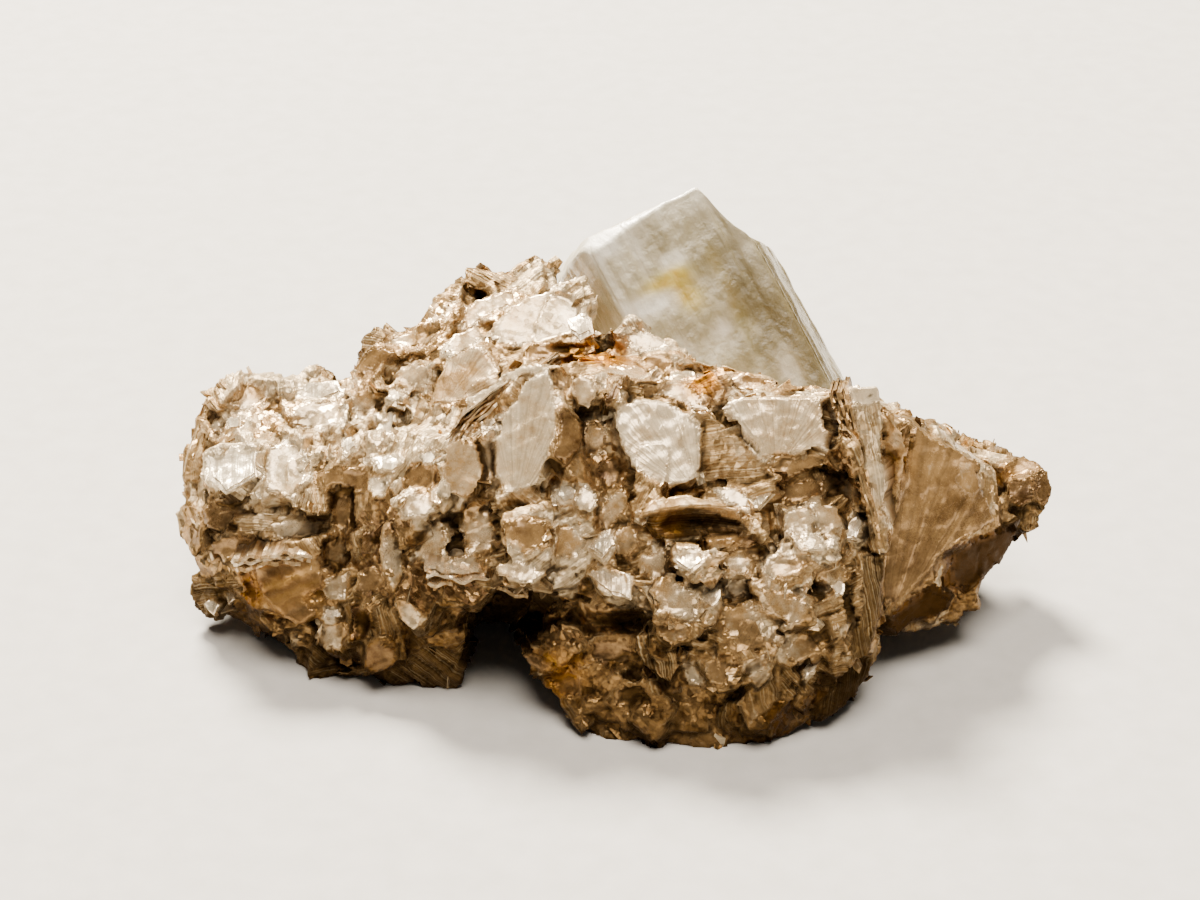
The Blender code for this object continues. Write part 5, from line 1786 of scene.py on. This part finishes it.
def prism_form():
    """Points in prism parts, and faces."""
    outline, inward, dents = prism_sides()
    count = len(outline)
    top = top_height(outline[:, 0], outline[:, 1])
    rings = []
    for ring in range(ALONG):
        height = -PRISM_LENGTH + (top + PRISM_LENGTH) * ring / (ALONG - 1)
        flat = np.stack([outline[:, 0], outline[:, 1], height], axis=1)
        dent = dents[:, ring] + LUMPS[0] * (1 + lumpy(flat, LUMPS[1], 6))
        dent += BUMPS[0] * lumpy(flat, BUMPS[1], 7)
        around = outline + inward * dent[:, None]
        rings.append(np.stack([around[:, 0], around[:, 1], height], axis=1))
    edge = rings[-1]
    for ring in range(1, CAP_RINGS):
        flat = edge[:, :2] * (1 - ring / CAP_RINGS)
        rings.append(np.concatenate([flat, top_height(*flat.T)[:, None]], axis=1))
    ends = [(0.0, 0.0, top_height(np.zeros(1), np.zeros(1))[0]), (0.0, 0.0, -PRISM_LENGTH)]
    points = np.concatenate(rings + [np.array(ends)])
    return points, ringed_faces(count, len(rings))


prism_points, prism_faces = prism_form()
print("prism: %d points" % len(prism_points))

# %% [markdown]
# # Clouds and stains in the crystal
# The left of the broad face is clouded, the right is clearer and streaked.  White veils, a
# yellow glow and a rusty spot lie at places of their own; the white band along the right edge is a
# painted highlight.  Each is given by where it shows in the frame and how far it spreads across
# and along the prism.

# %% Veils
# name: frame point, spread across and along the prism in mm, strength
VEILS = {
    "left_corner": ((602, 246), 0.70, 0.7, 0.9), "left_edge": ((612, 284), 0.35, 1.8, 0.35),
    "top_rim": ((660, 208), 2.4, 0.45, 0.10), "apex": ((700, 200), 0.9, 0.8, 0.2),
    "streak": ((640, 250), 0.35, 1.1, 0.35), "glow": ((674, 262), 0.6, 0.55, 1.2),
    "low_band": ((650, 304), 1.1, 0.5, 1.1), "pale_right": ((724, 328), 0.5, 0.5, 0.7),
    "pale_middle": ((756, 328), 0.4, 0.5, 0.5), "foot_right": ((791, 368), 0.55, 1.0, 1.0),
    # painted highlight: a white band along the right edge, where light catches it
    "right_edge_highlight": ((760, 262), 0.35, 1.6, 0.4), "right_edge_highlight_low": ((784, 300), 0.3, 1.4, 0.2),
}
YELLOW = {
    "yellow_band": ((660, 283), 1.0, 0.4, 1.0), "rusty_spot": ((691, 296), 0.6, 0.7, 1.3),
    "olive_foot": ((742, 314), 0.5, 1.3, 0.30), "yellow_glow": ((678, 276), 0.7, 0.5, 1.1),
    "yellow_streak": ((722, 272), 0.4, 1.6, 0.45),
}
OLIVE = {
    "right_side": ((800, 320), 2.1, 6.0, 1.0), "mid_streak": ((735, 290), 0.8, 3.0, 0.55),
    "under_apex": ((650, 235), 0.8, 0.8, 0.25), "foot_left": ((690, 330), 0.9, 0.7, 0.35),
    "left_slope": ((575, 262), 0.6, 3.0, 0.5),
}
MILK = 0.16              # everywhere, more towards the left and just below the top
MILK_LEFT = (0.14, 3.0)  # how much, and mm over which it fades out
MILK_TOP = (0.16, -0.3, 0.8)     # how much, height and half width in mm
GROWTH_STRETCH = 0.13    # squeezes the noise's place along the prism, which makes long streaks
prism_corners, prism_triangles = mesh_in_mm("goshenite_crystal")
prism_tree = BVHTree.FromPolygons(prism_corners.tolist(), prism_triangles.tolist())


def clouded(spots):
    """Strength of a set of spots at each point of the prism's front."""
    x, y, z = prism_points.T
    total = np.zeros(len(prism_points))
    for (across, down), wide, long, strength in spots.values():
        hit = prism_tree.ray_cast(view_eye, view_ray(across, down))[0]
        if hit is None:
            print("no prism at", across, down)
            continue
        px, py, pz = into_prism(hit)
        total += strength * np.exp(-((x - px) / wide) ** 2 - ((z - pz) / long) ** 2)
    return total * (y > 0)


def make_prism():
    x, y, z = prism_points.T
    milk = MILK + MILK_LEFT[0] * np.clip(0.5 - x / MILK_LEFT[1], 0, 1)
    milk += MILK_TOP[0] * np.exp(-((z - MILK_TOP[1]) / MILK_TOP[2]) ** 2)
    milk += clouded(VEILS)
    mesh = bpy.data.meshes.new("goshenite_prism")
    placed = (np.array(prism_origin) + np.outer(x, prism_side) + np.outer(y, prism_out)
              + np.outer(z, PRISM_AXIS))
    mesh.from_pydata((placed * MM).tolist(), [], prism_faces)
    for name, value in (("milk", milk), ("stain", clouded(YELLOW)), ("olive", clouded(OLIVE))):
        layer = mesh.attributes.new(name, "FLOAT", "POINT")
        layer.data.foreach_set("value", np.clip(value, -0.3, 1).astype(np.float32))
    grown = mesh.attributes.new("grown", "FLOAT_VECTOR", "POINT")
    stretched = prism_points * MM * (1.0, 1.0, GROWTH_STRETCH)
    grown.data.foreach_set("vector", stretched.ravel().astype(np.float32))
    mesh.materials.append(goshenite)
    mesh.update()
    mesh.shade_smooth()
    made = new_object("goshenite_prism", mesh)
    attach(made, "root")
    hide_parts("goshenite_crystal")
    print("prism: %d triangles" % sum(len(face) - 2 for face in prism_faces))
    return made


make_prism()

# %% [markdown]
# # Floor and light
# The specimen lies on a plain pale card.  One large soft lamp stands behind and to the left, as
# daylight from a window would, so that cleavage faces flash and the front falls into gentle
# shade.  A weaker one fills in from the front.

# %% Floor
FIBRE_MM = 1.5           # fibres of the card, faint


def pale_card():
    made, tree, shader = new_material("pale card")
    place = add_node(tree, "TexCoord", output="Object")
    fibre = add_node(tree, "TexNoise", {"Scale": 1 / (FIBRE_MM * MM), "Detail": 4.0},
                     {"Vector": place})
    colour = add_node(tree, "ValToRGB", {}, {"Fac": fibre},
                      stops=((0.3, "#cfccc6"), (0.7, "#d8d5d0")))
    tree.links.new(colour, shader.inputs["Base Color"])
    shader.inputs["Roughness"].default_value = 0.85
    return made


FLOOR_HALF = 1.2         # m
floor_mesh = bpy.data.meshes.new("floor")
floor_mesh.from_pydata([(-FLOOR_HALF, -FLOOR_HALF, 0), (FLOOR_HALF, -FLOOR_HALF, 0),
                        (FLOOR_HALF, FLOOR_HALF, 0), (-FLOOR_HALF, FLOOR_HALF, 0)],
                       [], [(0, 1, 2, 3)])
floor_mesh.materials.append(pale_card())
floor = new_object("floor", floor_mesh)
print("floor laid")

# %% Light
def soft_lamp(name, place, target, size, power, colour):
    lamp = bpy.data.lights.new(name, "AREA")
    lamp.shape = "DISK"
    lamp.size = size
    lamp.energy = power
    lamp.color = linear(colour)[:3]
    made = new_object(name, lamp)
    made.location = place
    made.rotation_euler = (Vector(target) - Vector(place)).to_track_quat("-Z", "Y").to_euler()
    return made


soft_lamp("window", (-0.10, 0.23, 0.32), (0, 0, 0.006), 0.12, 8.4, "#fff4e2")
soft_lamp("fill", (0.03, -0.10, 0.46), (0, 0, 0.006), 0.30, 3.5, "#fff4e6")
world = bpy.data.worlds.new("studio")
bpy.context.scene.world = world
world.use_nodes = True
world.node_tree.nodes["Background"].inputs["Color"].default_value = linear("#ece8e0")
world.node_tree.nodes["Background"].inputs["Strength"].default_value = 0.09
print("lamps: 2")
